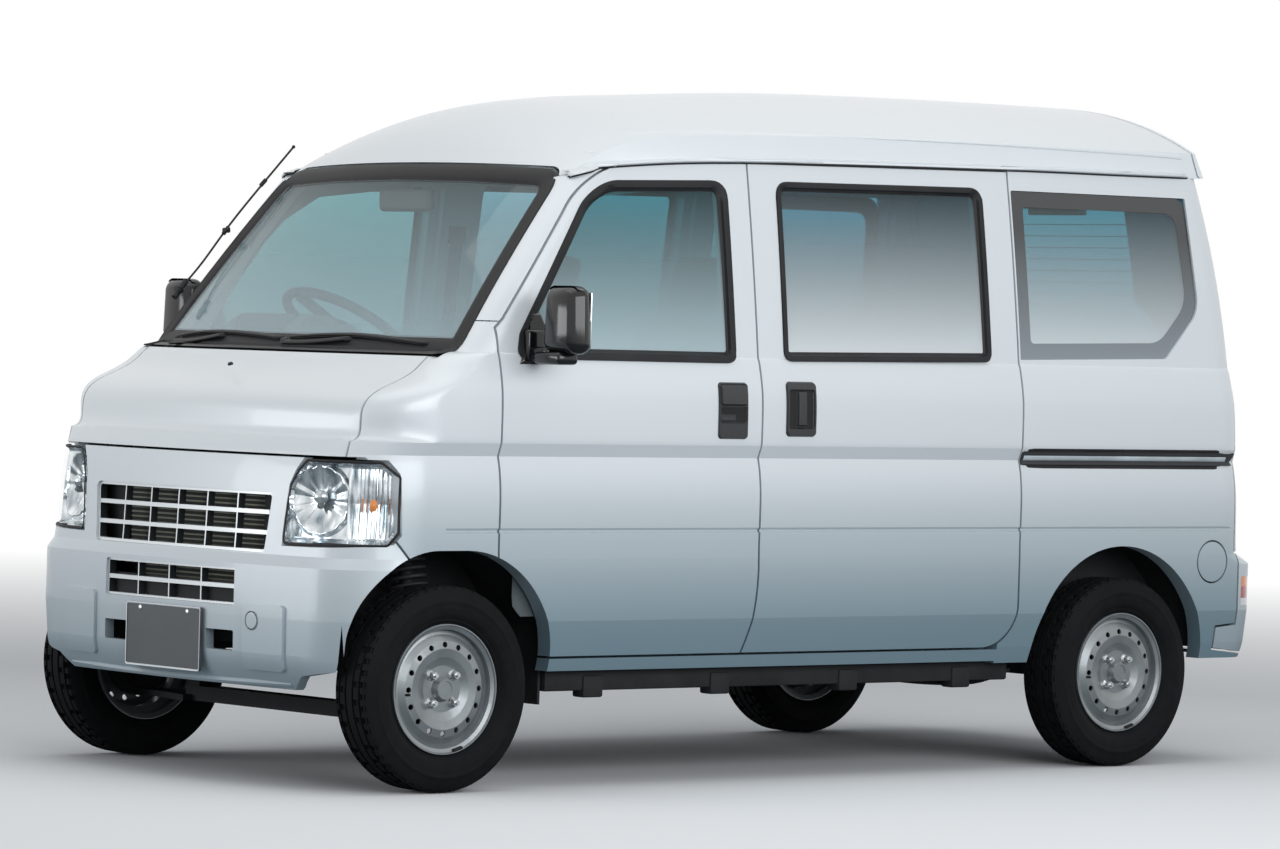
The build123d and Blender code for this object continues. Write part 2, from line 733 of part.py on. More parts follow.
# ---------------------------------------------------------------- inner frame: pillars, sills and rails
frame_sill_z = sill_z + 70
frame_top_z = gutter_z - 60
with BuildSketch() as doorway_front:
    with BuildLine():
        Polyline((b_seam_x + 58, frame_sill_z), (front_seam_x + 4, frame_sill_z), (front_seam_x + 4, 1180),
                 (pillar_bend[0] - 34, pillar_bend[1] - 24), (pillar_head[0] - 40, pillar_head[1] - 50),
                 (b_seam_x + 58, rise(0.852)), close=True)
    make_face()
with BuildSketch() as doorway_slide:
    with BuildLine():
        Polyline((b_seam_x - 62, frame_sill_z), (slide_seam_x + 80, frame_sill_z),
                 (slide_seam_x + 80, rise(0.87)), (b_seam_x - 62, rise(0.855)), close=True)
    make_face()
with BuildSketch() as tail_opening:
    with BuildLine():
        Polyline((-600, 640), (600, 640), (560, rise(0.9)), (-560, rise(0.9)), close=True)
    make_face()
    fillet(tail_opening.vertices(), 60)
apron_front_x = front_axle_x + 170
with BuildPart() as bonnet_sweep:
    with BuildSketch(Plane.XZ.offset(-620)):
        with Locations((screen_foot_x + 27.5, cowl_z + 4)):
            Circle(90)
    extrude(amount=1240)
with BuildPart() as body_frame:
    add(frame_skin)
    add(box_between((rear_end, -800, 306), (screen_foot_x + 60, 800, frame_top_z + 50)), mode=Mode.INTERSECT)
    for block in (
        both_sides(side_prism(doorway_front.sketch)),
        both_sides(side_prism(doorway_slide.sketch)),
        both_sides(side_prism(quarter_window_outline.sketch, 14)),
        both_sides(side_prism(front_arch.sketch, 34, 900, 400)),
        both_sides(side_prism(rear_arch.sketch, 34, 900, 400)),
        front_prism(tail_opening.sketch, 0, -1800, -1300),
        front_prism(screen_outline.sketch, -14, 700, 2000),
        box_between((front_seam_x - 80, -800, 200), (front_seam_x + 6, 800, 1190)),
        box_between((front_seam_x, -800, 200), (2000, 800, 700)),
        box_between((apron_front_x, -800, 200), (2000, 800, belt_z)),
        box_between((rear_end - 10, -800, 200), (rear_end + 240, 800, 640)),
        box_between((front_seam_x, -600, 200), (2000, 600, belt_z)),
        shell(roof_outer, roof_form(roof_wall + seat_clear)),
        bonnet_sweep.part,
    ):
        add(block, mode=Mode.SUBTRACT)
write(body_frame.part, "body_frame")

# ---------------------------------------------------------------- floor and bulkhead
floor_half = half - wall - frame_depth - 2 * seat_clear - 0.8
cab_floor_z = 440.0
load_floor_z = 600.0
sheet = 12.0
step_x = b_seam_x + 330
toe_x = front_seam_x - 60
bulkhead_x = front_axle_x - 30
wheelhouse_in = wheel_y - tyre_width / 2 - 142
rear_house_in = wheel_y - tyre_width / 2 - 40
with BuildSketch() as floor_profile:
    with BuildLine():
        Polyline((rear_end + 90, load_floor_z), (step_x, load_floor_z), (step_x, cab_floor_z),
                 (toe_x, cab_floor_z), (bulkhead_x, 640), (bulkhead_x, cowl_z - 90),
                 (bulkhead_x + sheet, cowl_z - 90), (bulkhead_x + sheet, 640 - 5), (toe_x + 5, cab_floor_z - sheet),
                 (step_x - sheet, cab_floor_z - sheet), (step_x - sheet, load_floor_z - sheet),
                 (rear_end + 90, load_floor_z - sheet), close=True)
    make_face()
liner = 6.0
liner_grow = 22.0
house_grow = liner_grow + liner + seat_clear
with BuildPart() as floor_pan:
    with BuildSketch(Plane.XZ.offset(-floor_half)):
        add(floor_profile.sketch)
    extrude(amount=2 * floor_half)
    for block in (
        both_sides(side_prism(front_arch.sketch, house_grow, 900, wheelhouse_in - 8)),
        both_sides(side_prism(rear_arch.sketch, house_grow, 900, rear_house_in - 8)),
        both_sides(box_between((front_seam_x - 90, 640, 300), (front_seam_x + 20, 900, 1300))),
    ):
        add(block, mode=Mode.SUBTRACT)
    add(cabin_clear, mode=Mode.INTERSECT)
write(floor_pan.part, "floor_pan")

# Wheelhouse liners: an arched band over each wheel, closed on its inboard side.


def wheelhouse(arch, y_in, y_out, low_z):
    """Arched liner over one left wheel, with its inboard wall, open below low_z."""
    return cut_from(
        side_prism(arch, liner_grow + liner, y_out, y_in),
        [box_between((-3000, 0, low_z), (3000, 1000, 2000))],
        [side_prism(arch, liner_grow, y_out + 1, y_in + liner)],
    )


front_house = cut_from(wheelhouse(front_arch.sketch, wheelhouse_in, 628, 300), [bumper_backing], [])
rear_house = cut_from(
    wheelhouse(rear_arch.sketch, rear_house_in, half - wall - frame_depth - 3, 330), [], [rear_bumper_cut]
)
flap_width = 90.0
with BuildPart() as mud_flap:
    with Locations((arch_back - liner_grow, 568, 216)):
        Box(8, flap_width, 190, align=(Align.MIN,) * 3)
with BuildPart() as wheelhouses:
    for piece in (front_house, rear_house, mud_flap.part):
        add(piece)
        mirror(piece, about=Plane.XZ)
write(wheelhouses.part, "wheelhouses")

# ---------------------------------------------------------------- chassis
rail_y = 345.0
rail_width = 60.0
rail_low_z = 335.0
rail_high_z = cab_floor_z - sheet - seat_clear
rear_rail_high_z = load_floor_z - sheet - seat_clear
beam_low_z = 400.0
beam_high_z = 520.0
support_x = front_end - 150
lamp_space = cut_from(
    shell(outer_form, body_form(lamp_depth + seat_clear)), [front_prism(lamp_front.sketch, 3, support_x - 200)], []
)
upright = (Align.CENTER, Align.CENTER, Align.MIN)
forward = (Align.MIN, Align.CENTER, Align.MIN)
cross_beams = []
for beam_x in (toe_x - 216, wheels_mid_x + 300, rear_axle_x + 560):
    beam = box_between((beam_x - 30, -half, rail_low_z + 6), (beam_x + 30, half, rail_low_z + 62))
    cross_beams.append(cut_from(beam, [cabin_clear], []))
with BuildPart() as chassis_rails:
    for side in (-1, 1):
        with Locations((rear_end + 20, side * rail_y, rail_low_z)):
            Box(length - 80, rail_width, rail_high_z - rail_low_z, align=forward)
        with Locations((rear_end + 90, side * rail_y, rail_low_z)):
            Box(step_x - rear_end - 120, rail_width, rear_rail_high_z - rail_low_z, align=forward)
    for x in (front_axle_x, rear_end + 130):
        with Locations((x, 0, rail_low_z)):
            Box(50, 2 * rail_y, 62, align=upright)
    for beam in cross_beams:
        add(beam)
    # Radiator support behind the front panel, with bonnet stops and lamp brackets.
    with BuildSketch(Plane.YZ.offset(support_x)):
        with Locations((0, 610)):
            Rectangle(860, 430)
        with Locations((0, 620)):
            Rectangle(620, 350, mode=Mode.SUBTRACT)
    extrude(amount=20)
    with Locations((support_x + 5, 380, 790), (support_x + 5, -380, 790)):
        Box(120, 36, 100, align=forward)
    with Locations((support_x - 80, 446, 690), (support_x - 80, -446, 690)):
        Box(160, 60, 60, align=forward)
    # Bumper beams at both ends.
    with Locations((support_x + 96, 0, beam_low_z), (rear_end - 10, 0, beam_low_z)):
        Box(60, 1000, beam_high_z - beam_low_z, align=forward)
    with Locations((support_x + 5, rail_y, rail_low_z), (support_x + 5, -rail_y, rail_low_z)):
        Box(150, rail_width, 120, align=forward)
    add(bumper_backing, mode=Mode.INTERSECT)
    add(both_sides(lamp_space), mode=Mode.SUBTRACT)
write(chassis_rails.part, "chassis_rails")

# ---------------------------------------------------------------- engine, tank, exhaust, radiator
mount_gap = rail_low_z - seat_clear
with BuildPart() as engine_block:
    with Locations((rear_axle_x + 300, 0, 290)):
        Box(400, 2 * rail_y - rail_width - 2 * seat_clear, 280, align=upright)
    fillet(engine_block.edges().filter_by(Axis.X), 30)
write(engine_block.part, "engine_block")

with BuildPart() as fuel_tank:
    with Locations((wheels_mid_x + 20, 120, mount_gap - 90)):
        Box(480, 400, 90, align=upright)
    fillet(fuel_tank.edges().filter_by(Axis.Z), 40)
    fillet(fuel_tank.faces().sort_by(Axis.Z)[0].edges(), 20)
    with BuildSketch(Plane.XZ.offset(-(half - fuel_pocket_depth))):
        with Locations((fuel_x, fuel_z)):
            Circle(27)
    extrude(amount=-(fuel_pocket_depth - glass_set_in - seat_clear))
write(fuel_tank.part, "fuel_tank")

pipe_radius = 19.0
muffler_x = rear_end + 200
muffler_z = mount_gap - 70
with BuildPart() as exhaust:
    with BuildSketch(Plane.XZ.offset(-250)):
        with Locations((muffler_x, muffler_z)):
            Ellipse(92, 62)
    extrude(amount=500)
    with Locations((muffler_x, 0, muffler_z)):
        Box(40, 2 * rail_y - 20, mount_gap - muffler_z, align=upright)
    with BuildLine(Plane.XY.offset(muffler_z)):
        Line((muffler_x, -240), (muffler_x, -420))
        RadiusArc((muffler_x, -420), (muffler_x - 90, -510), 90)
        Line((muffler_x - 90, -510), (rear_end + 6, -510))
    with BuildSketch(Plane(origin=(muffler_x, -240, muffler_z), z_dir=(0, -1, 0))):
        Circle(pipe_radius)
    sweep()
write(exhaust.part, "exhaust")

with BuildPart() as radiator:
    with Locations((support_x + 20 + seat_clear, 0, 430)):
        Box(26, 610, 340, align=forward)
write(radiator.part, "radiator")

# ---------------------------------------------------------------- front suspension and knuckles
pin_foot = (front_axle_x, wheel_y - 50, axle_z - 82)
pin_head = (front_axle_x, wheel_y - 135, axle_z + 372)
pin_lean = atan2(pin_foot[1] - pin_head[1], pin_head[2] - pin_foot[2])


def on_pin(z):
    """Y of the steering axis at a height."""
    return pin_foot[1] + (z - pin_foot[2]) / (pin_head[2] - pin_foot[2]) * (pin_head[1] - pin_foot[1])


strut_radius = 19.0
strut_low_z = axle_z + 40
strut_high_z = arch_top + liner_grow - seat_clear
hub_face_y = wheel_y + 39 - seat_clear
pin_direction = (0, pin_head[1] - pin_foot[1], pin_head[2] - pin_foot[2])
with BuildPart() as knuckle:
    with BuildSketch(Plane(origin=(front_axle_x, on_pin(strut_low_z), strut_low_z), z_dir=pin_direction)):
        Circle(strut_radius)
    extrude(amount=(strut_high_z - 12 - strut_low_z) / cos(pin_lean))
    with Locations((front_axle_x, wheel_y - 58, axle_z - 70)):
        Box(60, 34, 160, align=upright)
    with BuildSketch(Plane.XZ.offset(-(wheel_y - 45))):
        with Locations((front_axle_x, axle_z)):
            Circle(38)
    extrude(amount=-(hub_face_y - wheel_y + 45))
    with BuildSketch(Plane.XZ.offset(-(wheel_y - 22))):
        with Locations((front_axle_x, axle_z)):
            Circle(104)
    extrude(amount=-16)
    with Locations((front_axle_x - 70, wheel_y - 58, axle_z - 50)):
        Box(130, 18, 24, align=upright)
write(knuckle.part, "knuckle_left")
write(other_side(knuckle.part), "knuckle_right")

arm_z = pin_foot[2] - 16
pin_high = axle_z - 70 - seat_clear - arm_z - 16
with BuildPart() as front_suspension:
    with Locations((front_axle_x, 0, arm_z)):
        Box(60, 2 * (rail_y + 30), 40, align=upright)
    with Locations((front_axle_x, rail_y, arm_z + 20), (front_axle_x, -rail_y, arm_z + 20)):
        Box(50, 50, rail_low_z - seat_clear - arm_z - 20, align=upright)
    with BuildSketch(Plane.XY.offset(arm_z)):
        with BuildLine():
            Polyline((front_axle_x - 130, rail_y), (front_axle_x + 60, rail_y), (front_axle_x + 16, pin_foot[1] + 12),
                     (front_axle_x - 16, pin_foot[1] + 12), close=True)
        make_face()
        mirror(about=Plane.XZ)
    extrude(amount=16)
    for side in (-1, 1):
        with Locations((front_axle_x, side * pin_foot[1], arm_z + 16)):
            Cylinder(9, pin_high - 8, align=upright)
        with Locations((front_axle_x, side * pin_foot[1], arm_z + 16 + pin_high - 8)):
            Cone(9, 2.5, 8, align=upright)
write(front_suspension.part, "front_suspension")

# ---------------------------------------------------------------- rear axle
spring_y = rail_y + 60
with BuildPart() as rear_axle:
    with BuildSketch(Plane.XZ.offset(-(wheel_y - 60))):
        with Locations((rear_axle_x, axle_z)):
            Circle(30)
    extrude(amount=2 * (wheel_y - 60))
    for side in (-1, 1):
        with BuildSketch(Plane.XZ.offset(-side * (wheel_y - 60))):
            with Locations((rear_axle_x, axle_z)):
                Circle(110)
        extrude(amount=-side * 46)
        with BuildSketch(Plane.XZ.offset(-side * (wheel_y - 14))):
            with Locations((rear_axle_x, axle_z)):
                Circle(38)
        extrude(amount=-side * (hub_face_y - wheel_y + 14))
        with BuildSketch(Plane.XZ.offset(-(side * spring_y + 25))):
            with BuildLine():
                ThreePointArc((rear_axle_x - 430, axle_z + 52), (rear_axle_x, axle_z + 34), (rear_axle_x + 430, axle_z + 52))
                Line((rear_axle_x + 430, axle_z + 52), (rear_axle_x + 430, axle_z + 64))
                ThreePointArc((rear_axle_x + 430, axle_z + 64), (rear_axle_x, axle_z + 54), (rear_axle_x - 430, axle_z + 64))
                Line((rear_axle_x - 430, axle_z + 64), (rear_axle_x - 430, axle_z + 52))
            make_face()
        extrude(amount=50)
        with Locations((rear_axle_x, side * spring_y, axle_z)):
            Box(70, 60, 50, align=upright)
        for x in (rear_axle_x - 400, rear_axle_x + 400):
            with Locations((x, side * (spring_y - 30), axle_z + 56)):
                Box(40, 60, rail_low_z - seat_clear - axle_z - 56, align=upright)
write(rear_axle.part, "rear_axle")

# ---------------------------------------------------------------- wheels
bead_radius = rim_flange_radius - 11
rim_half = 50.8
rim_sheet = 3.5
disc_set = 39.0        # outboard offset of the wheel's mounting face from the middle of the tyre


def wheel_plane(axle_x):
    """Plane through a left wheel's axis: its local x points outboard and its local y up."""
    return Plane(origin=(axle_x, wheel_y, axle_z), x_dir=(0, 1, 0), z_dir=(1, 0, 0))


def tyre(axle_x):
    """Tyre as a closed ring on the rim's seat, with rounded shoulders and bulged side walls."""
    tread = tyre_width / 2 - 17
    bulge = tyre_width / 2
    with BuildPart() as ring:
        with BuildSketch(wheel_plane(axle_x)):
            with BuildLine():
                Line((-rim_half + 1, bead_radius), (rim_half - 1, bead_radius))
                Line((rim_half - 1, bead_radius), (rim_half, bead_radius + 13))
                Spline((rim_half, bead_radius + 13), (bulge, (bead_radius + tyre_radius) / 2 + 2),
                       (tread + 8, tyre_radius - 9), tangents=((0.7, 1), (-0.75, 1)))
                Line((tread + 8, tyre_radius - 9), (tread, tyre_radius - 2.2))
                ThreePointArc((tread, tyre_radius - 2.2), (0, tyre_radius), (-tread, tyre_radius - 2.2))
                Line((-tread, tyre_radius - 2.2), (-tread - 8, tyre_radius - 9))
                Spline((-tread - 8, tyre_radius - 9), (-bulge, (bead_radius + tyre_radius) / 2 + 2),
                       (-rim_half, bead_radius + 13), tangents=((-0.75, -1), (0.7, -1)))
                Line((-rim_half, bead_radius + 13), (-rim_half + 1, bead_radius))
            make_face()
        revolve(axis=Axis((axle_x, wheel_y, axle_z), (0, 1, 0)))
    return ring.part


def rim(axle_x):
    """Pressed steel wheel: barrel with two flanges, a dished disc with round vents, four nuts and a cap."""
    low_well = bead_radius - 17
    with BuildPart() as steel:
        with BuildSketch(wheel_plane(axle_x)):
            with BuildLine():
                Polyline((-rim_half - 8, rim_flange_radius), (-rim_half - 1, rim_flange_radius),
                         (-rim_half + 1, bead_radius), (-22, bead_radius), (-14, low_well), (14, low_well),
                         (22, bead_radius), (rim_half - 1, bead_radius), (rim_half + 1, rim_flange_radius),
                         (rim_half + 8, rim_flange_radius), (rim_half + 8, rim_flange_radius - 3),
                         (rim_half + 4, rim_flange_radius - 5), (rim_half, bead_radius - rim_sheet),
                         (24, bead_radius - rim_sheet), (16, low_well - rim_sheet), (-16, low_well - rim_sheet),
                         (-24, bead_radius - rim_sheet), (-rim_half, bead_radius - rim_sheet),
                         (-rim_half - 4, rim_flange_radius - 5), (-rim_half - 8, rim_flange_radius - 3), close=True)
            make_face()
        with BuildSketch(wheel_plane(axle_x)):
            with BuildLine():
                Polyline((disc_set, 0), (disc_set, 64), (disc_set + 7, 84), (disc_set + 10, 104),
                         (disc_set + 6, 122), (disc_set - 5, 138), (disc_set - 10, bead_radius - rim_sheet),
                         (disc_set - 3, bead_radius - rim_sheet), (disc_set + 1, 140), (disc_set + 12, 124),
                         (disc_set + 15, 104), (disc_set + 12, 82), (disc_set + 4, 60), (disc_set + 4, 0), close=True)
            make_face()
        revolve(axis=Axis((axle_x, wheel_y, axle_z), (0, 1, 0)))
        with BuildSketch(Plane.XZ.offset(-(wheel_y + disc_set + 30))):
            with Locations((axle_x, axle_z)):
                with PolarLocations(114, 16):
                    Circle(7.5)
        extrude(amount=40, mode=Mode.SUBTRACT)
        with BuildSketch(Plane.XZ.offset(-(wheel_y + disc_set + 4))):
            with Locations((axle_x, axle_z)):
                Circle(27)
                with PolarLocations(50, 4, 45):
                    RegularPolygon(11, 6)
        extrude(amount=-14)
    return steel.part


for place, axle_x in (("front", front_axle_x), ("rear", rear_axle_x)):
    tyre_solid = tyre(axle_x)
    rim_solid = rim(axle_x)
    write(tyre_solid, f"tyre_{place}_left")
    write(other_side(tyre_solid), f"tyre_{place}_right")
    write(rim_solid, f"rim_{place}_left")
    write(other_side(rim_solid), f"rim_{place}_right")

# ---------------------------------------------------------------- cab interior
seat_y = 345.0
steer_lean = 32.0
steer_centre = (front_axle_x - 458, -seat_y, 1178)
steer_radius = 182.0
steer_tube = 14.0
steer_up = (-sin(radians(steer_lean)), 0, cos(radians(steer_lean)))
steer_plane = Plane(origin=steer_centre, x_dir=(0, 1, 0), z_dir=steer_up)
with BuildPart() as steering_wheel:
    with BuildSketch(Plane(origin=steer_centre, x_dir=(0, 1, 0), z_dir=(cos(radians(steer_lean)), 0, sin(radians(steer_lean))))):
        with Locations((steer_radius, 0)):
            Circle(steer_tube)
    revolve(axis=Axis(steer_centre, steer_up))
    with BuildSketch(steer_plane.offset(-34)):
        Circle(58)
    extrude(amount=30)
    with BuildSketch(steer_plane.offset(-22)):
        with Locations((100, 30), (-100, 30)):
            Rectangle(160, 34)
        with Locations((0, -100)):
            Rectangle(40, 160)
        Circle(steer_radius - 4, mode=Mode.INTERSECT)
    extrude(amount=16)
write(steering_wheel.part, "steering_wheel")

column_base = 640.0
column_radius = 32.0
with BuildPart() as steering_column:
    with BuildSketch(steer_plane.offset(-34 - seat_clear)):
        Circle(column_radius)
    extrude(amount=-210)
    with BuildSketch(steer_plane.offset(-240)):
        Circle(13)
    extrude(amount=-(column_base - 240))
write(steering_column.part, "steering_column")

dash_rear_x = front_axle_x - 305
with BuildPart() as dashboard:
    with BuildSketch(Plane.XZ.offset(-620)):
        with BuildLine():
            Polyline((dash_rear_x + 30, 800), (dash_rear_x, 1000), (dash_rear_x + 40, 1120))
            Spline((dash_rear_x + 40, 1120), (dash_rear_x + 120, 1146), (bulkhead_x - 20, 1118))
            Polyline((bulkhead_x - 20, 1118), (bulkhead_x - seat_clear, 1000), (bulkhead_x - seat_clear, 900),
                     (bulkhead_x - 130, 800), (dash_rear_x + 30, 800))
        make_face()
    extrude(amount=1240)
    with BuildSketch(Plane.XZ.offset(-(-seat_y + 165))):
        with BuildLine():
            Polyline((dash_rear_x + 20, 1110), (dash_rear_x + 4, 1196))
            Spline((dash_rear_x + 4, 1196), (dash_rear_x + 70, 1212), (dash_rear_x + 170, 1130))
            Line((dash_rear_x + 170, 1130), (dash_rear_x + 20, 1110))
        make_face()
    extrude(amount=330)
    with BuildSketch(steer_plane.offset(-30)):
        Circle(column_radius + seat_clear)
    extrude(amount=-700, mode=Mode.SUBTRACT)
    add(cabin_clear, mode=Mode.INTERSECT)
    add(side_prism(front_arch.sketch, house_grow, 900, wheelhouse_in - 8), mode=Mode.SUBTRACT)
    add(other_side(side_prism(front_arch.sketch, house_grow, 900, wheelhouse_in - 8)), mode=Mode.SUBTRACT)
write(dashboard.part, "dashboard")

cushion_front_x = b_seam_x + 540
cushion_rear_x = b_seam_x + 90
cushion_low_z = load_floor_z + 60
cushion_high_z = cushion_low_z + 130
seat_half = 235.0
back_lean = 16.0
base_high = 59.0
plate = 8.0            # recliner plates beside each back rest
back_half = seat_half - 5
with BuildPart() as seat_base:
    with Locations(((cushion_front_x + cushion_rear_x) / 2 - 20, seat_y, load_floor_z + seat_clear)):
        Box(330, 360, base_high, align=upright)
    with Locations((cushion_rear_x, seat_y, load_floor_z + seat_clear)):
        Box(90, 2 * (back_half + seat_clear + plate), base_high, align=upright)
    for y_out in (seat_y + back_half + seat_clear + plate, seat_y - back_half - seat_clear):
        with BuildSketch(Plane.XZ.offset(-y_out)):
            with BuildLine():
                Polyline((cushion_rear_x - 45, load_floor_z + seat_clear), (cushion_rear_x - 3, load_floor_z + seat_clear),
                         (cushion_rear_x - 3, cushion_low_z + 70), (cushion_rear_x - 50, cushion_high_z + 110),
                         (cushion_rear_x - 90, cushion_high_z + 100), (cushion_rear_x - 60, cushion_low_z + 60),
                         close=True)
            make_face()
        extrude(amount=plate)
write(both_sides(seat_base.part), "seat_bases")

back_plane = Plane(
    origin=(cushion_rear_x + 10, 0, cushion_high_z - 20),
    x_dir=(0, 1, 0),
    z_dir=(cos(radians(back_lean)), 0, sin(radians(back_lean))),
)
with BuildPart() as seat_cushions:
    with Locations(((cushion_front_x + cushion_rear_x) / 2, seat_y, cushion_low_z),
                   ((cushion_front_x + cushion_rear_x) / 2, -seat_y, cushion_low_z)):
        Box(cushion_front_x - cushion_rear_x, 2 * seat_half, cushion_high_z - cushion_low_z, align=upright)
    fillet(seat_cushions.edges(), 30)
write(seat_cushions.part, "seat_cushions")
with BuildPart() as seat_backs:
    with BuildSketch(back_plane):
        with Locations((seat_y, 265), (-seat_y, 265)):
            RectangleRounded(2 * back_half, 480, 60)
    extrude(amount=-100)
    fillet(seat_backs.edges(), 22)
    with BuildSketch(back_plane.offset(-20)):
        with Locations((seat_y, 595), (-seat_y, 595)):
            RectangleRounded(270, 170, 50)
    extrude(amount=-80)
    with BuildSketch(back_plane.offset(-54)):
        with Locations((seat_y - 60, 480), (seat_y + 60, 480), (-seat_y - 60, 480), (-seat_y + 60, 480)):
            Rectangle(12, 100)
    extrude(amount=-12)
write(seat_backs.part, "seat_backs")

bench_front_x = slide_seam_x + 420
with BuildPart() as rear_bench:
    with Locations((bench_front_x - 225, 0, load_floor_z + seat_clear)):
        Box(400, 1000, 90, align=upright)
    with Locations((bench_front_x - 225, 0, load_floor_z + 90)):
        Box(450, 1060, 120, align=upright)
    with Locations((bench_front_x - 470, 0, load_floor_z + 110)):
        Box(90, 1060, 390, align=upright)
write(rear_bench.part, "rear_bench")

# ---------------------------------------------------------------- small outer pieces
with BuildPart() as number_plate:
    with BuildSketch(Plane.YZ.offset(front_end - 7)):
        with Locations((0, plate_low_z + plate_height / 2)):
            RectangleRounded(plate_width, plate_height, 8)
            with Locations((-105, plate_height / 2 - 14), (105, plate_height / 2 - 14)):
                Circle(4, mode=Mode.SUBTRACT)
    extrude(amount=7)
write(number_plate.part, "number_plate")

mirror_x = front_axle_x - 268
with BuildPart() as mirror_blank:
    with BuildSketch(Plane.XZ.offset(-(half - 40))):
        with BuildLine():
            Polyline((front_axle_x - 218, 1128), (front_axle_x - 300, 1128), (front_axle_x - 226, 1250), close=True)
        make_face()
    extrude(amount=-58)
    with Locations((mirror_x + 8, half + 30, 1128)):
        Box(44, 90, 36, align=upright)
    with Locations((mirror_x, half + 100, 1106)):
        Box(62, 148, 196, align=upright)
    fillet(mirror_blank.faces().sort_by(Axis.Y)[-1].edges(), 18)
door_mirror = cut_from(mirror_blank.part, [], [clear_form])
write(door_mirror, "mirror_left")
write(other_side(door_mirror), "mirror_right")

with BuildPart() as fuel_disc:
    with BuildSketch(Plane.XZ.offset(-(half + 20))):
        with Locations((fuel_x, fuel_z)):
            Circle(fuel_radius)
    extrude(amount=60)
fuel_lid = cut_from(shell(outer_form, thin_form), [fuel_disc.part], [])
write(fuel_lid, "fuel_lid")

rail_strip_z = 868.0
with BuildPart() as slide_rails:
    with Locations((tail_seam_x + 10, half - 13, rail_strip_z)):
        Box(slide_seam_x - tail_seam_x - 16, 20, 34, align=(Align.MIN, Align.MIN, Align.CENTER))
rail_left = cut_from(slide_rails.part, [body_form(-5)], [clear_form])
write(both_sides(rail_left), "slide_rails")

# Wiper arms and blades, lying on the windscreen over the cowl.
wiper_low_z = belt_z + 14
with BuildSketch() as wiper_outline:
    for pivot_y, tip_y in ((-560, 20), (-30, 585)):
        with BuildLine():
            Polyline((pivot_y, wiper_low_z - 10), (pivot_y, wiper_low_z + 8),
                     ((pivot_y + tip_y) / 2, wiper_low_z + 22), (tip_y, wiper_low_z + 22),
                     (tip_y, wiper_low_z + 8), ((pivot_y + tip_y) / 2, wiper_low_z + 6), close=True)
        make_face()
wipers = cut_from(
    shell(body_form(-9), body_form(glass_set_in - seat_clear)),
    [front_prism(wiper_outline.sketch, 0, 1000, 2000)],
    [],
)
write(wipers, "wipers")
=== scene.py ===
"""Looks of the kei van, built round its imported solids: finishes, glass, lamps, seals, cabin and running gear.

Everything is in metres in the van's own frame: X forward, Y to its left, Z up, origin on the ground.
"""

import math

import bmesh
import bpy
from mathutils import Matrix, Vector
from mathutils.bvhtree import BVHTree


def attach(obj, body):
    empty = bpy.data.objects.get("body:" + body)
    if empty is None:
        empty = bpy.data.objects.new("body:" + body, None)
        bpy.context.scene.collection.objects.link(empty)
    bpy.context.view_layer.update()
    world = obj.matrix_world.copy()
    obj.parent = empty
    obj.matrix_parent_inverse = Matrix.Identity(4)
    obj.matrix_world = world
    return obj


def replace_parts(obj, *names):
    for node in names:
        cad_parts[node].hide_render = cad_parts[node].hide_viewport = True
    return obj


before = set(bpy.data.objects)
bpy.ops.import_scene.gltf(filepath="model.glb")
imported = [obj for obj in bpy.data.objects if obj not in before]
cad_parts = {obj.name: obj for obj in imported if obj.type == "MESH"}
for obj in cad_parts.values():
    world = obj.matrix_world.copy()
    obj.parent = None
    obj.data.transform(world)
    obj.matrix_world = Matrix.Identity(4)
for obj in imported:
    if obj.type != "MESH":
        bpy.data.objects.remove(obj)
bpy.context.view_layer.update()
scene = bpy.context.scene
scene.view_settings.view_transform = "Standard"

# ---- Camera -------------------------------------------------------------------------------------
# A long lens from the front left, a little over the height of the bonnet. It looks slightly down and is
# rolled by a degree and a half.
eye = Vector((10.4263, 12.2424, 1.2076))
yaw, pitch, roll = (math.radians(angle) for angle in (-130.169, -0.9855, 1.5428))
ahead = Vector((math.cos(pitch) * math.cos(yaw), math.cos(pitch) * math.sin(yaw), math.sin(pitch)))
level = ahead.cross(Vector((0, 0, 1))).normalized()
turn = Matrix.Rotation(roll, 3, -ahead)
across = turn @ level
camera = bpy.data.objects.new("camera", bpy.data.cameras.new("camera"))
scene.collection.objects.link(camera)
camera.matrix_world = Matrix((across, across.cross(ahead), -ahead)).transposed().to_4x4()
camera.location = eye
camera.data.lens = 162.05
camera.data.sensor_width = 36.0
camera.data.clip_end = 200.0
scene.camera = camera

# ---- Floor and backdrop -------------------------------------------------------------------------
# A plain pale studio floor that runs back into a white surround, with a large soft light overhead,
# a broad one on the left side and a weaker one at the nose.


class Socket:
    """One output of a shader node, so that finishes can be written as expressions."""

    def __init__(self, finish, socket):
        self.finish = finish
        self.socket = socket

    def math(self, operation, *values):
        return self.finish.add("Math", {"operation": operation}, dict(enumerate(values))).out(0)

    def __add__(self, other):
        return self.math("ADD", self, other)

    def __radd__(self, other):
        return self.math("ADD", other, self)

    def __sub__(self, other):
        return self.math("SUBTRACT", self, other)

    def __rsub__(self, other):
        return self.math("SUBTRACT", other, self)

    def __mul__(self, other):
        return self.math("MULTIPLY", self, other)

    def __rmul__(self, other):
        return self.math("MULTIPLY", other, self)

    def __truediv__(self, other):
        return self.math("DIVIDE", self, other)

    def __pow__(self, other):
        return self.math("POWER", self, other)

    def sine(self):
        return self.math("SINE", self)

    def limited(self):
        return self.math("MAXIMUM", self.math("MINIMUM", self, 1.0), 0.0)


class Node:
    """A shader node whose outputs come wrapped."""

    def __init__(self, finish, node):
        self.finish = finish
        self.node = node

    def out(self, key=0):
        return Socket(self.finish, self.node.outputs[key])


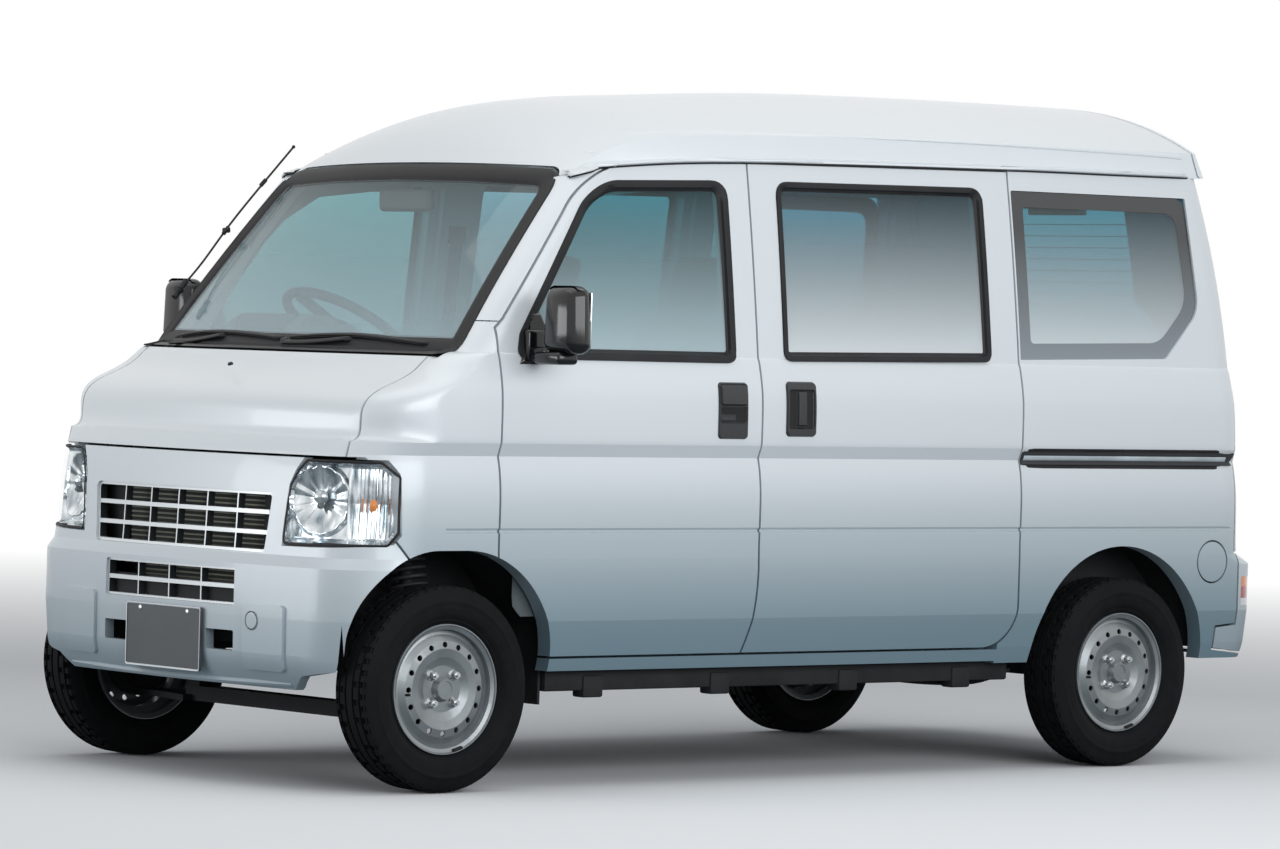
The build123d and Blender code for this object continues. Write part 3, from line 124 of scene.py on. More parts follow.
class Finish:
    """A material and its nodes. add() takes a node's type, its settings and its sockets' values or links."""

    def __init__(self, name):
        self.material = bpy.data.materials.new(name)
        self.material.use_nodes = True
        self.tree = self.material.node_tree
        self.tree.nodes.clear()

    def add(self, kind, settings=None, sockets=None):
        node = self.tree.nodes.new("ShaderNode" + kind)
        for key, value in (settings or {}).items():
            if key == "stops":
                while len(node.color_ramp.elements) < len(value):
                    node.color_ramp.elements.new(0.5)
                for stop, (place, colour) in zip(node.color_ramp.elements, value):
                    stop.position = place
                    stop.color = (*colour, 1.0)
            else:
                setattr(node, key, value)
        for key, value in (sockets or {}).items():
            if isinstance(value, Node):
                value = value.out()
            if isinstance(value, Socket):
                self.tree.links.new(value.socket, node.inputs[key])
            elif isinstance(value, tuple) and node.inputs[key].type == "RGBA":
                node.inputs[key].default_value = (*value, 1.0)
            else:
                node.inputs[key].default_value = value
        return Node(self, node)

    def place(self, stretch=None):
        """Object coordinates, in metres, each multiplied by its part of stretch."""
        spot = self.add("TexCoord").out("Object")
        if stretch:
            spot = self.add("VectorMath", {"operation": "MULTIPLY"}, {0: spot, 1: stretch}).out(0)
        return spot

    def axes(self):
        """X, Y and Z of the Object coordinates."""
        parts = self.add("SeparateXYZ", None, {"Vector": self.place()})
        return parts.out("X"), parts.out("Y"), parts.out("Z")

    def noise(self, scale, detail=2.0, vector=None, rough=0.5):
        sockets = {"Vector": vector or self.place(), "Scale": scale, "Detail": detail, "Roughness": rough}
        return self.add("TexNoise", None, sockets).out(0)

    def blend(self, amount, low, high):
        """Colour low where amount is 0 and high where it is 1."""
        return self.add("Mix", {"data_type": "RGBA"}, {0: amount, 6: low, 7: high}).out(2)

    def bump(self, height, strength, distance):
        return self.add("Bump", None, {"Height": height, "Strength": strength, "Distance": distance}).out()

    def shade(self, **sockets):
        """A Principled shader with these sockets; underscores stand for blanks."""
        named = {key.replace("_", " "): value for key, value in sockets.items()}
        return self.add("BsdfPrincipled", None, named)

    def done(self, shader):
        """Connects the shader to the output and gives the material."""
        self.add("OutputMaterial", None, {"Surface": shader})
        return self.material


def floor_finish():
    """Matt pale floor; towards the horizon it turns into the white of the surround."""
    white_from, white_full = 4.05, 13.05
    look = Finish("floor")
    x, y, z = look.axes()
    far = (((x * x + y * y) ** 0.5 - white_from) / (white_full - white_from)).limited()
    ray = look.add("LightPath")
    bounce = look.blend(ray.out("Is Camera Ray"), (0.26, 0.30, 0.32), (0.93, 0.935, 0.94))
    matt = look.add("BsdfDiffuse", None, {"Color": bounce})
    white = look.add("Emission", None, {"Color": (1.0, 1.0, 1.0), "Strength": 1.0})
    seen = (ray.out("Is Camera Ray") + ray.out("Is Glossy Ray") + ray.out("Is Transmission Ray")).limited()
    return look.done(look.add("MixShader", None, {0: far * seen, 1: matt, 2: white}))


floor_mesh = bmesh.new()
bmesh.ops.create_grid(floor_mesh, x_segments=1, y_segments=1, size=60)
bmesh.ops.translate(floor_mesh, verts=floor_mesh.verts, vec=(0, 0, -0.0005))
floor = bpy.data.objects.new("floor", bpy.data.meshes.new("floor"))
floor_mesh.to_mesh(floor.data)
scene.collection.objects.link(floor)
floor.data.materials.append(floor_finish())

# The surround is plain white where it is seen, mirrored or looked through, and a soft blue-white as light.
world = bpy.data.worlds.new("surround")
scene.world = world
world.use_nodes = True
sky = world.node_tree
sky.nodes.clear()
sky_ray = sky.nodes.new("ShaderNodeLightPath")
sky_seen = sky_ray.outputs["Is Camera Ray"]
for kind in ("Is Transmission Ray", "Is Glossy Ray"):
    either = sky.nodes.new("ShaderNodeMath")
    either.operation = "ADD"
    either.use_clamp = True
    sky.links.new(sky_seen, either.inputs[0])
    sky.links.new(sky_ray.outputs[kind], either.inputs[1])
    sky_seen = either.outputs[0]
mix_sky = sky.nodes.new("ShaderNodeMixShader")
sky.links.new(sky_seen, mix_sky.inputs[0])
for place, colour, strength in ((1, (0.90, 0.95, 1.0, 1), 0.33), (2, (1, 1, 1, 1), 1.0)):
    background = sky.nodes.new("ShaderNodeBackground")
    background.inputs["Color"].default_value = colour
    background.inputs["Strength"].default_value = strength
    sky.links.new(background.outputs[0], mix_sky.inputs[place])
sky_out = sky.nodes.new("ShaderNodeOutputWorld")
sky.links.new(mix_sky.outputs[0], sky_out.inputs[0])


def soft_light(name, place, aim, width, depth, power, colour=(1, 1, 1)):
    """Rectangular area light at a place, facing its aim."""
    light = bpy.data.objects.new(name, bpy.data.lights.new(name, "AREA"))
    light.data.shape = "RECTANGLE"
    light.data.size = width
    light.data.size_y = depth
    light.data.energy = power
    light.data.color = colour
    light.location = place
    light.rotation_euler = (Vector(aim) - Vector(place)).to_track_quat("-Z", "Y").to_euler()
    scene.collection.objects.link(light)


soft_light("overhead", (0.3, 0.6, 5.2), (0, 0, 0), 7.0, 4.5, 85)
soft_light("side", (1.2, 7.5, 2.6), (0, 0, 0.9), 8.0, 3.0, 308, (0.94, 0.97, 1.0))
soft_light("nose", (7.0, -2.8, 1.3), (1.65, 0, 0.6), 4.0, 2.2, 120, (0.96, 0.98, 1.0))

# ---- Body panels --------------------------------------------------------------------------------
# Pressed steel panels and moulded bumpers, all in one silver-white pearl under clear coat. Painted shade
# darkens the colour a little towards the sills, and fine flake breaks up the highlight.


def scaled(colour, share):
    """A colour made deeper or paler, up to full white."""
    return tuple(min(1.0, part * share) for part in colour)


def pearl_paint(name, colour, painted_shade_tint, painted_shade_from, painted_shade_depth):
    """Pearl under clear coat; below a given height painted shade darkens it over a given depth to colour times
    the painted shade tint.
    """
    look = Finish(name)
    x, y, z = look.axes()
    cloud = look.noise(1.1, 3.0) - 0.5
    flake = look.noise(1400, 1.0) - 0.5
    # Painted shade: the colour darkens towards the sills.
    low = ((painted_shade_from - z) / painted_shade_depth).limited()
    tone = (0.5 + cloud * 0.25 + flake * 0.55).limited()
    bright = look.blend(tone, scaled(colour, 0.90), scaled(colour, 1.07))
    shaded = tuple(part * share for part, share in zip(colour, painted_shade_tint))
    base = look.blend(low * low * (3 - 2 * low), bright, shaded)
    peel = look.bump(look.noise(260, 1.0), 0.02, 0.001)
    shader = look.shade(Base_Color=base, Metallic=0.12, Roughness=0.42 + flake * 0.05, Normal=peel,
                        Coat_Weight=0.35, Coat_Roughness=0.07)
    return look.done(shader)


def dress(finish, *names):
    """Gives CAD nodes a finish."""
    for name in names:
        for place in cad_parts[name].material_slots:
            place.link = "OBJECT"
            place.material = finish


panel_paint = pearl_paint("panel_paint", (0.78, 0.815, 0.835), (0.26, 0.36, 0.41), 0.94, 0.60)
bumper_paint = pearl_paint("bumper_paint", (0.72, 0.765, 0.79), (0.50, 0.56, 0.60), 0.74, 0.50)
dress(panel_paint, "front_door_left", "front_door_right", "sliding_doors", "body_sides", "front_fenders",
      "bonnet", "roof_panel", "tailgate", "fuel_lid")
dress(bumper_paint, "front_bumper", "rear_bumper")

# ---- Frame, floor and running gear --------------------------------------------------------------
# Welded steel pressings under black chip-resistant paint, a rough iron engine block, a dull steel
# exhaust and a bare metal radiator core.


def coated_steel(name, colour, rough=0.6, grain=240, depth=0.35):
    """Brushed-on or sprayed coating over steel, with uneven gloss and paler blotches of dust."""
    look = Finish(name)
    blotch = look.noise(9, 4.0)
    pores = look.noise(grain, 3.0)
    base = look.blend((blotch * 1.6 - 0.35).limited(), colour, tuple(part * 1.9 + 0.01 for part in colour))
    shader = look.shade(Base_Color=base, Roughness=rough + blotch * 0.2, Specular_IOR_Level=0.25,
                        Normal=look.bump(pores, depth, 0.0015))
    return look.done(shader)


under_coat = coated_steel("under_coat", (0.012, 0.012, 0.013))
engine_iron = coated_steel("engine_iron", (0.055, 0.057, 0.060), 0.55, 90, 0.6)
exhaust_steel = coated_steel("exhaust_steel", (0.16, 0.155, 0.15), 0.42, 60, 0.2)
core_metal = coated_steel("core_metal", (0.30, 0.31, 0.32), 0.4, 300, 0.3)
dress(under_coat, "floor_pan", "chassis_rails", "front_suspension", "rear_axle", "knuckle_left",
      "knuckle_right", "fuel_tank", "wheelhouses")
dress(engine_iron, "engine_block")
dress(exhaust_steel, "exhaust")
dress(core_metal, "radiator")

# ---- Tyres --------------------------------------------------------------------------------------
# Four narrow commercial tyres, moulded in black rubber: a bulged side wall with raised rings, and a
# tread of four straight grooves crossed by blocks at the shoulders. Each seats on its rim's beads.


def tyre_rubber():
    """Black rubber, matt and a little dusty."""
    look = Finish("tyre_rubber")
    worn = look.noise(30, 4.0)
    dust = look.noise(5, 3.0)
    dusty = (worn * 0.7 + dust * 0.5 - 0.35).limited()
    base = look.blend(dusty, (0.0045, 0.0048, 0.0052), (0.020, 0.021, 0.022))
    shader = look.shade(Base_Color=base, Roughness=0.68 + worn * 0.2, Specular_IOR_Level=0.12,
                        Normal=look.bump(look.noise(700, 2.0), 0.25, 0.0006))
    return look.done(shader)


def finish_mesh(name, mesh, material, body, smooth=35.0):
    """Makes a piece of a bmesh: merged, facing out, smooth up to an angle, and riding on a body."""
    bmesh.ops.remove_doubles(mesh, verts=mesh.verts, dist=1e-6)
    bmesh.ops.recalc_face_normals(mesh, faces=mesh.faces)
    for edge in mesh.edges:
        if len(edge.link_faces) == 2 and edge.calc_face_angle(0) > math.radians(smooth):
            edge.smooth = False
    for face in mesh.faces:
        face.smooth = True
    piece = bpy.data.objects.new(name, bpy.data.meshes.new(name))
    mesh.to_mesh(piece.data)
    mesh.free()
    scene.collection.objects.link(piece)
    piece.data.materials.append(material)
    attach(piece, body)
    return piece


def turned(profile, centre, steps, axis=(0, 1, 0), closed=False):
    """Spins a profile of (along the axis, radius) points into a full ring about the axis through centre."""
    mesh = bmesh.new()
    axis = Vector(axis).normalized()
    side = axis.orthogonal().normalized()
    points = [mesh.verts.new(Vector(centre) + axis * along + side * radius) for along, radius in profile]
    pairs = list(zip(points, points[1:])) + ([(points[-1], points[0])] if closed else [])
    edges = [mesh.edges.new(pair) for pair in pairs]
    bmesh.ops.spin(mesh, geom=points + edges, cent=centre, axis=axis, dvec=(0, 0, 0), angle=2 * math.pi,
                   steps=steps, use_merge=True, use_duplicate=False)
    bmesh.ops.remove_doubles(mesh, verts=mesh.verts, dist=1e-6)
    return mesh


tyre_radius = 0.266
tread_steps = 108


def tyre_mesh(centre):
    """One tyre, its axle along Y: side wall and grooves are spun, then every shoulder block is set in."""
    groove_depth = 0.0075
    block_gap = 0.0016
    block_depth = 0.0055
    wall = [(0.0500, 0.1562), (0.0512, 0.1690), (0.0560, 0.1740), (0.0585, 0.1765), (0.0590, 0.1800),
            (0.0625, 0.1830), (0.0668, 0.1905), (0.0684, 0.1925), (0.0688, 0.1975), (0.0712, 0.2030),
            (0.0722, 0.2130), (0.0720, 0.2190), (0.0728, 0.2205), (0.0727, 0.2265), (0.0712, 0.2285),
            (0.0690, 0.2400), (0.0655, 0.2500), (0.0615, 0.2585), (0.0560, tyre_radius - 0.0022)]
    tread = []
    for groove in (0.041, 0.0145):
        top = tyre_radius - 0.0008 - groove * 0.025
        tread += [(groove + 0.0035, top), (groove + 0.0024, top - groove_depth),
                  (groove - 0.0024, top - groove_depth), (groove - 0.0035, top)]
    half = wall + tread
    profile = half + [(-along, rad) for along, rad in reversed(half)]
    mesh = turned(profile, centre, tread_steps, closed=True)
    mesh.faces.ensure_lookup_table()
    blocks = []
    for face in mesh.faces:
        middle = face.calc_center_median() - Vector(centre)
        reach = math.hypot(middle.x, middle.z)
        angle = math.degrees(math.atan2(middle.z, middle.x)) % 360
        step = int(angle * tread_steps / 360)
        shoulder = abs(middle.y) > 0.045 and reach > 0.2545
        rib = 0.018 < abs(middle.y) < 0.037 and reach > 0.262
        if (shoulder and (step + (middle.y > 0)) % 2 == 0) or (rib and step % 3 == (middle.y > 0)):
            blocks.append(face)
    bmesh.ops.inset_individual(mesh, faces=blocks, thickness=block_gap, depth=0.0)
    for face in blocks:
        middle = face.calc_center_median() - Vector(centre)
        inward = Vector((middle.x, 0, middle.z)).normalized() * -block_depth
        bmesh.ops.translate(mesh, verts=face.verts, vec=inward)
    return mesh


rubber = tyre_rubber()
axles = {"front": 1.320, "rear": -1.100}
wheel_y = 0.655
axle_z = tyre_radius
for place, axle_x in axles.items():
    for side, outward in (("left", 1), ("right", -1)):
        mesh = tyre_mesh((axle_x, outward * wheel_y, axle_z))
        tyre = finish_mesh(f"tyre_tread_{place}_{side}", mesh, rubber, f"wheel_{place}_{side}")
        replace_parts(tyre, f"tyre_{place}_{side}")

# ---- Wheels -------------------------------------------------------------------------------------
# Pressed steel wheels in silver lacquer, with a pressed cap over the hub, nuts on their cones, a
# rubber valve and a balance weight clipped to the flange.


def wheel_lacquer():
    """Silver lacquer over steel, darker where brake dust sits."""
    look = Finish("wheel_lacquer")
    fine = look.noise(600, 2.0)
    dirt = look.noise(14, 4.0)
    base = look.blend((dirt * 1.5 - 0.55).limited(), (0.27, 0.29, 0.30), (0.16, 0.17, 0.18))
    shader = look.shade(Base_Color=base, Metallic=0.55, Roughness=0.34 + fine * 0.1,
                        Normal=look.bump(fine, 0.05, 0.0008), Coat_Weight=0.4)
    return look.done(shader)


def bright_metal(name, colour, rough=0.12, grain=0.05):
    """Plated or bare metal with a fine grain."""
    look = Finish(name)
    fine = look.noise(320, 2.0)
    base = look.blend(fine, colour, scaled(colour, 1.1))
    shader = look.shade(Base_Color=base, Metallic=1.0, Roughness=rough + fine * grain,
                        Normal=look.bump(fine, 0.03, 0.0005))
    return look.done(shader)


def cone_out(mesh, spot, outward, sides, foot, top, depth, lift):
    """A cone or prism that points outwards along the axle, its middle lifted off spot."""
    matrix = Matrix.Translation(spot + Vector((0, outward * lift, 0))) @ Matrix.Rotation(
        math.radians(-90 * outward), 4, "X")
    bmesh.ops.create_cone(mesh, cap_ends=True, segments=sides, radius1=foot, radius2=top, depth=depth,
                          matrix=matrix)


disc_out = 0.043
stud_circle = 0.050
lacquer = wheel_lacquer()
nut_metal = bright_metal("nut_metal", (0.62, 0.63, 0.64), 0.22, 0.15)
valve_rubber = coated_steel("valve_rubber", (0.012, 0.012, 0.012), 0.7, 500, 0.2)
dress(lacquer, "rim_front_left", "rim_front_right", "rim_rear_left", "rim_rear_right")
for place, axle_x in axles.items():
    for side, outward in (("left", 1), ("right", -1)):
        body = f"wheel_{place}_{side}"
        face_y = outward * (wheel_y + disc_out)
        centre = (axle_x, face_y, axle_z)
        cap_profile = [(0.0, 0.033), (0.004, 0.0325), (0.016, 0.0275), (0.0185, 0.026), (0.0185, 0.0205),
                       (0.0165, 0.0195), (0.0168, 0.0)]
        cap = turned([(outward * along, radius) for along, radius in cap_profile], centre, 40)
        finish_mesh(f"hub_cap_{place}_{side}", cap, lacquer, body, 28)
        ring_profile = [(0.0, 0.0745), (0.0022, 0.0735), (0.0022, 0.0715), (0.0, 0.070)]
        ring = turned([(outward * along, radius) for along, radius in ring_profile], centre, 64)
        finish_mesh(f"disc_ring_{place}_{side}", ring, lacquer, body, 28)
        nuts = bmesh.new()
        for number in range(4):
            angle = math.radians(45 + 90 * number)
            around = Vector((math.cos(angle), 0, math.sin(angle)))
            spot = Vector(centre) + around * stud_circle
            cone_out(nuts, spot, outward, 24, 0.0145, 0.0105, 0.006, 0.003)
            cone_out(nuts, spot, outward, 16, 0.0062, 0.0050, 0.026, 0.013)
            cone_out(nuts, spot, outward, 6, 0.0105, 0.0098, 0.014, 0.012)
        finish_mesh(f"wheel_nuts_{place}_{side}", nuts, nut_metal, body, 25)
        stem_profile = [(0.0, 0.0), (0.0, 0.0055), (0.012, 0.0048), (0.022, 0.0032), (0.034, 0.0034),
                        (0.034, 0.0)]
        stem = turned(stem_profile, (axle_x + 0.128, outward * (wheel_y + 0.030), axle_z - 0.012), 16,
                      axis=(-0.35, outward, 0))
        finish_mesh(f"valve_{place}_{side}", stem, valve_rubber, body, 40)
        weight = bmesh.new()
        at_flange = Matrix.Translation((axle_x - 0.045, outward * (wheel_y + 0.0565), axle_z - 0.1535))
        bmesh.ops.create_cube(weight, size=1.0, matrix=at_flange @ Matrix.Rotation(0.28, 4, "Y")
                              @ Matrix.Diagonal((0.030, 0.010, 0.008, 1)))
        bmesh.ops.bevel(weight, geom=weight.edges[:], offset=0.002, segments=2, profile=0.5, affect="EDGES",
                        material=-1)
        finish_mesh(f"balance_weight_{place}_{side}", weight, valve_rubber, body, 40)

# ---- Inner frame and cabin mouldings ------------------------------------------------------------
# The inner pillars and rails are painted with the body and show round the doors. The dashboard,
# steering column cover and seat bases are grey grained plastic, with near-black trim beside them.


def moulded_plastic(name, colour, grain=900, rough=0.55, depth=0.25):
    """Grained moulded plastic, a little paler and smoother where it is rubbed."""
    look = Finish(name)
    leather = look.add("TexVoronoi", {"feature": "DISTANCE_TO_EDGE"},
                       {"Vector": look.place(), "Scale": grain}).out(0)
    rubbed = look.noise(6, 3.0)
    base = look.blend((rubbed * 1.3 - 0.35).limited(), colour, tuple(part * 1.35 + 0.004 for part in colour))
    shader = look.shade(Base_Color=base, Roughness=rough - rubbed * 0.12,
                        Normal=look.bump(leather, depth, 0.0006))
    return look.done(shader)


cabin_grey = moulded_plastic("cabin_grey", (0.105, 0.120, 0.126))
trim_dark = moulded_plastic("trim_dark", (0.016, 0.017, 0.018), 1100, 0.5)
seal_black = coated_steel("seal_black", (0.008, 0.008, 0.009), 0.42, 700, 0.15)
dress(panel_paint, "body_frame")
dress(cabin_grey, "dashboard", "steering_column", "seat_bases")

# ---- Window glass -------------------------------------------------------------------------------
# Curved safety glass with a sea-green tint, under a painted reflection: a pale lit sheet that covers the
# lower glass and thins towards the top. The windscreen, the front doors and the sliding doors hold it in black
# rubber seals; a seal has a crowned face and a lip on the glass.


def tinted_glass(name, stain, tint_and_reflection, painted_reflection_top, painted_reflection_foot, from_z=1.12, to_z=1.60):
    """Clear stained glass; a lit sheet with a coat, a painted reflection, covers what is behind by the foot
    share at from_z and the top share at to_z.
    """
    look = Finish(name)
    x, y, z = look.axes()
    share = ((z - from_z) / (to_z - from_z)).limited()
    sheen_and_painted_reflection = look.shade(Base_Color=look.blend(share, tint_and_reflection, scaled(tint_and_reflection, 0.25)), Roughness=0.03,
                       Coat_Weight=1.0, Coat_Roughness=0.01)
    clear = look.add("BsdfTransparent", None, {"Color": stain})
    # The cover is a painted reflection: a pale lit sheet, thickest at the foot and darker towards the top.
    cover = share * (painted_reflection_top - painted_reflection_foot) + painted_reflection_foot
    return look.done(look.add("MixShader", None, {0: cover, 1: clear, 2: sheen_and_painted_reflection}))


screen_glass = tinted_glass("screen_glass", (0.94, 0.985, 0.99), (0.72, 0.90, 0.95), 0.20, 0.38)
cab_glass = tinted_glass("cab_glass", (0.46, 0.74, 0.76), (0.80, 0.93, 0.97), 0.10, 0.58)
side_glass = tinted_glass("side_glass", (0.50, 0.75, 0.82), (0.97, 1.0, 1.0), 0.12, 0.84)
tail_glass = tinted_glass("tail_glass", (0.50, 0.76, 0.80), (0.40, 0.60, 0.64), 0.13, 0.24)
dress(screen_glass, "windscreen")
dress(cab_glass, "door_window_left", "door_window_right")
dress(side_glass, "side_windows")
dress(tail_glass, "rear_window")


def skin_of(*names):
    """The surfaces of CAD nodes as one search tree, for laying trim on."""
    points, faces = [], []
    for name in names:
        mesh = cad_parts[name].data
        start = len(points)
        points += [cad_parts[name].matrix_world @ vertex.co for vertex in mesh.vertices]
        faces += [tuple(start + index for index in face.vertices) for face in mesh.polygons]
    return BVHTree.FromPolygons(points, faces)


left_skin = skin_of("front_door_left", "sliding_doors", "body_sides", "front_fenders", "side_windows",
                    "door_window_left", "front_bumper", "rear_bumper", "tailgate", "roof_panel")
nose_skin = skin_of("bonnet", "front_bumper", "windscreen", "cowl_panel", "front_fenders", "body_sides",
                    "roof_panel", "headlamps")
tail_skin = skin_of("tailgate", "rear_window", "rear_bumper", "body_sides", "roof_panel", "tail_lamps")


def lay_on(mesh, skin, way, reach=0.012, back=3.0):
    """Lays a flat relief on a skin: way is the direction of sight, and distance back along it is height.

    A point takes the highest skin within reach of it, then within wider steps, then its nearest neighbour's.
    """
    way = Vector(way)
    rise = Vector((0, 0, 1))
    side = rise.cross(way).normalized()
    sight = back - 0.5 if back > 1 else 2.0
    found = []
    for vertex in mesh.verts:
        flat = vertex.co + way * -vertex.co.dot(way)
        best = None
        for spread in (reach, 0.004, 0.010, 0.020):
            for step in (Vector(), side, -side, rise, -rise):
                hit = skin.ray_cast(flat + step * spread - way * back, way, sight)[0]
                if hit is not None and (best is None or -hit.dot(way) > best):
                    best = -hit.dot(way)
            if best is not None:
                break
        found.append(best)
    known = [(vertex.co.copy(), best) for vertex, best in zip(mesh.verts, found) if best is not None]
    for vertex, best in zip(mesh.verts, found):
        height = -vertex.co.dot(way)
        if best is None:
            best = min(known, key=lambda pair: (pair[0] - vertex.co).length)[1]
        vertex.co += way * height - way * (best + height)


def lay_side(mesh, skin=left_skin, reach=0.012):
    """Lays a relief given in X and Z, with Y as its height, on the left side."""
    lay_on(mesh, skin, (0, -1, 0), reach)


def lay_nose(mesh, skin=nose_skin, reach=0.012):
    """Lays a relief given in Y and Z, with X as its height, on the front."""
    lay_on(mesh, skin, (-1, 0, 0), reach)


def lay_tail(mesh, skin=tail_skin, reach=0.012):
    """Lays a relief given in Y and Z, with X as its depth, on the back."""
    lay_on(mesh, skin, (1, 0, 0), reach)


def rounded(corners, radii):
    """A closed outline with its corners rounded; radii is one size or one for each corner."""
    points = []
    for index, corner in enumerate(corners):
        radius = radii[index] if isinstance(radii, (list, tuple)) else radii
        here = Vector(corner)
        if not radius:
            points.append(here)
            continue
        before = Vector(corners[index - 1]) - here
        after = Vector(corners[(index + 1) % len(corners)]) - here
        reach = min(radius / math.tan(before.angle(after) / 2), before.length * 0.45, after.length * 0.45)
        start = here + before.normalized() * reach
        end = here + after.normalized() * reach
        for step in range(7):
            share = step / 6
            points.append(start * (1 - share) ** 2 + here * (2 * share * (1 - share)) + end * share**2)
    return points


def turn_to_nose(mesh):
    """Turns a relief drawn in X and Z so that it is drawn in Y and Z, with its height along X."""
    rows = Matrix(((0, 1, 0, 0), (1, 0, 0, 0), (0, 0, 1, 0), (0, 0, 0, 1)))
    bmesh.ops.transform(mesh, verts=mesh.verts, matrix=rows)


def turn_to_tail(mesh):
    """The same for the back, where heights point to -X."""
    rows = Matrix(((0, -1, 0, 0), (1, 0, 0, 0), (0, 0, 1, 0), (0, 0, 0, 1)))
    bmesh.ops.transform(mesh, verts=mesh.verts, matrix=rows)


def moved_in(corners, width):
    """An outline's corners after each of its sides is moved in by a width."""
    count = len(corners)
    turn = sum(corners[index - 1][0] * corners[index][1] - corners[index][0] * corners[index - 1][1]
               for index in range(count))
    sign = 1 if turn > 0 else -1
    result = []
    for index, corner in enumerate(corners):
        here = Vector(corner)
        before = (here - Vector(corners[index - 1])).normalized()
        after = (Vector(corners[(index + 1) % count]) - here).normalized()
        inward = Vector((-before.y - after.y, before.x + after.x)) * sign
        inward = inward.normalized()
        square = abs(inward.dot(Vector((-before.y, before.x))))
        result.append(here + inward * (width / max(square, 0.3)))
    return result


def ring_row(corners, radii, width, spacing):
    """One line of a ring: the outline moved in by a width, rounded, with its long sides divided."""
    count = len(corners)
    sizes = [max(radius - width, 0.004) if radius else 0 for radius in
             (radii if isinstance(radii, (list, tuple)) else [radii] * count)]
    inner = moved_in(corners, width)
    points = rounded([tuple(corner) for corner in inner], sizes)
    steps = [7 if size else 1 for size in sizes]
    line = []
    start = 0
    for index, step in enumerate(steps):
        group = points[start:start + step]
        start += step
        line += group
        there = points[start % len(points)]
        gap = (Vector(corners[(index + 1) % count]) - Vector(corners[index])).length
        cuts = int(gap / spacing)
        line += [group[-1].lerp(there, (cut + 1) / (cuts + 1)) for cut in range(cuts)]
    return line


def ring_mesh(corners, radii, rows, spacing=0.04):
    """A closed strip inside an outline; rows are pairs of distance from the outline and height."""
    mesh = bmesh.new()
    lines = [[mesh.verts.new((spot.x, height, spot.y)) for spot in ring_row(corners, radii, width, spacing)]
             for width, height in rows]
    for outer, inner in zip(lines, lines[1:]):
        for index in range(len(outer)):
            after = (index + 1) % len(outer)
            mesh.faces.new((outer[index], outer[after], inner[after], inner[index]))
    return mesh


def seal_ring(corners, radii, width, proud, dip, spacing=0.04, lap=0.0):
    """Rubber seal round a window: a crowned strip from lap outside the outline inwards to the glass."""
    rows = [(-lap, -dip * 0.3), (width * 0.06 - lap, proud * 0.7), (width * 0.18, proud),
            (width * 0.60, proud * 0.95), (width * 0.72, proud * 0.55), (width * 0.94, -dip * 0.2),
            (width, -dip)]
    return ring_mesh(corners, radii, rows, spacing)


def right_copy(mesh):
    """The mirror image of a left-hand piece."""
    copy = mesh.copy()
    bmesh.ops.scale(copy, verts=copy.verts, vec=(1, -1, 1))
    bmesh.ops.reverse_faces(copy, faces=copy.faces)
    return copy


def both(name, mesh, material, left_body, right_body, smooth=35.0, slot=None):
    """A left-hand piece and its mirror image."""
    copy = right_copy(mesh)
    finish_mesh(name + "_left", mesh, material, left_body, smooth)
    finish_mesh(name + "_right", copy, material, right_body, smooth)


belt = 1.128
gutter = 1.672
b_seam = 0.288
slide_seam = -0.671


def rise(share):
    """Height between the belt and the roof gutter, as a share."""
    return belt + share * (gutter - belt)


front_window = [(b_seam + 0.081, 1.117), (1.111, 1.117), (1.099, 1.178), (0.860, rise(0.75)),
                (0.7765, rise(0.835)), (b_seam + 0.081, rise(0.861))]
slide_window = [(b_seam - 0.091, 1.121), (slide_seam + 0.100, 1.131), (slide_seam + 0.100, rise(0.893)),
                (b_seam - 0.096, rise(0.875))]
screen_edge = [(0.655, 1.126), (0.588, 1.600), (0.30, 1.612), (0.0, 1.616), (-0.30, 1.612), (-0.588, 1.600),
               (-0.655, 1.126)]
tail_edge = [(0.522, 1.150), (0.472, 1.612), (-0.472, 1.612), (-0.522, 1.150)]

seal = seal_ring(front_window, [0.034, 0.03, 0.03, 0.16, 0.16, 0.05], 0.027, 0.0040, 0.0050, lap=0.004)
lay_side(seal)
both("front_window_seal", seal, seal_black, "door_left", "door_right", 30, "black_plastic")
seal = seal_ring(slide_window, [0.03, 0.03, 0.045, 0.045], 0.027, 0.0040, 0.0050)
lay_side(seal)
both("slide_window_seal", seal, seal_black, "van_body", "van_body", 30, "black_plastic")
seal = seal_ring(screen_edge, [0.03, 0.07, 0, 0, 0, 0.07, 0.03], 0.040, 0.0065, 0.0060, lap=0.010)
turn_to_nose(seal)
screen_surround = skin_of("windscreen", "body_sides", "front_fenders", "front_door_left", "front_door_right")
lay_nose(seal, screen_surround, 0.0)
finish_mesh("windscreen_seal", seal, seal_black, "van_body", 30)

# ---- Door corner plates ---------------------------------------------------------------------------
# Black moulded plates that fill the front lower corner of each door window and carry the mirror arm.
# Each is a crowned triangle, clipped over the door skin.


def rounded_inside(u, v, middle, half, radius):
    """How far (u, v) is inside a rounded rectangle; negative outside it."""
    side = abs(u - middle[0]) - half[0] + radius
    rise_out = abs(v - middle[1]) - half[1] + radius
    return radius - math.hypot(max(side, 0.0), max(rise_out, 0.0)) - min(max(side, rise_out), 0.0)


def ease(value, width):
    """A smooth step from 0 at 0 to 1 at width."""
    share = min(max(value / width, 0.0), 1.0)
    return share * share * (3 - 2 * share)


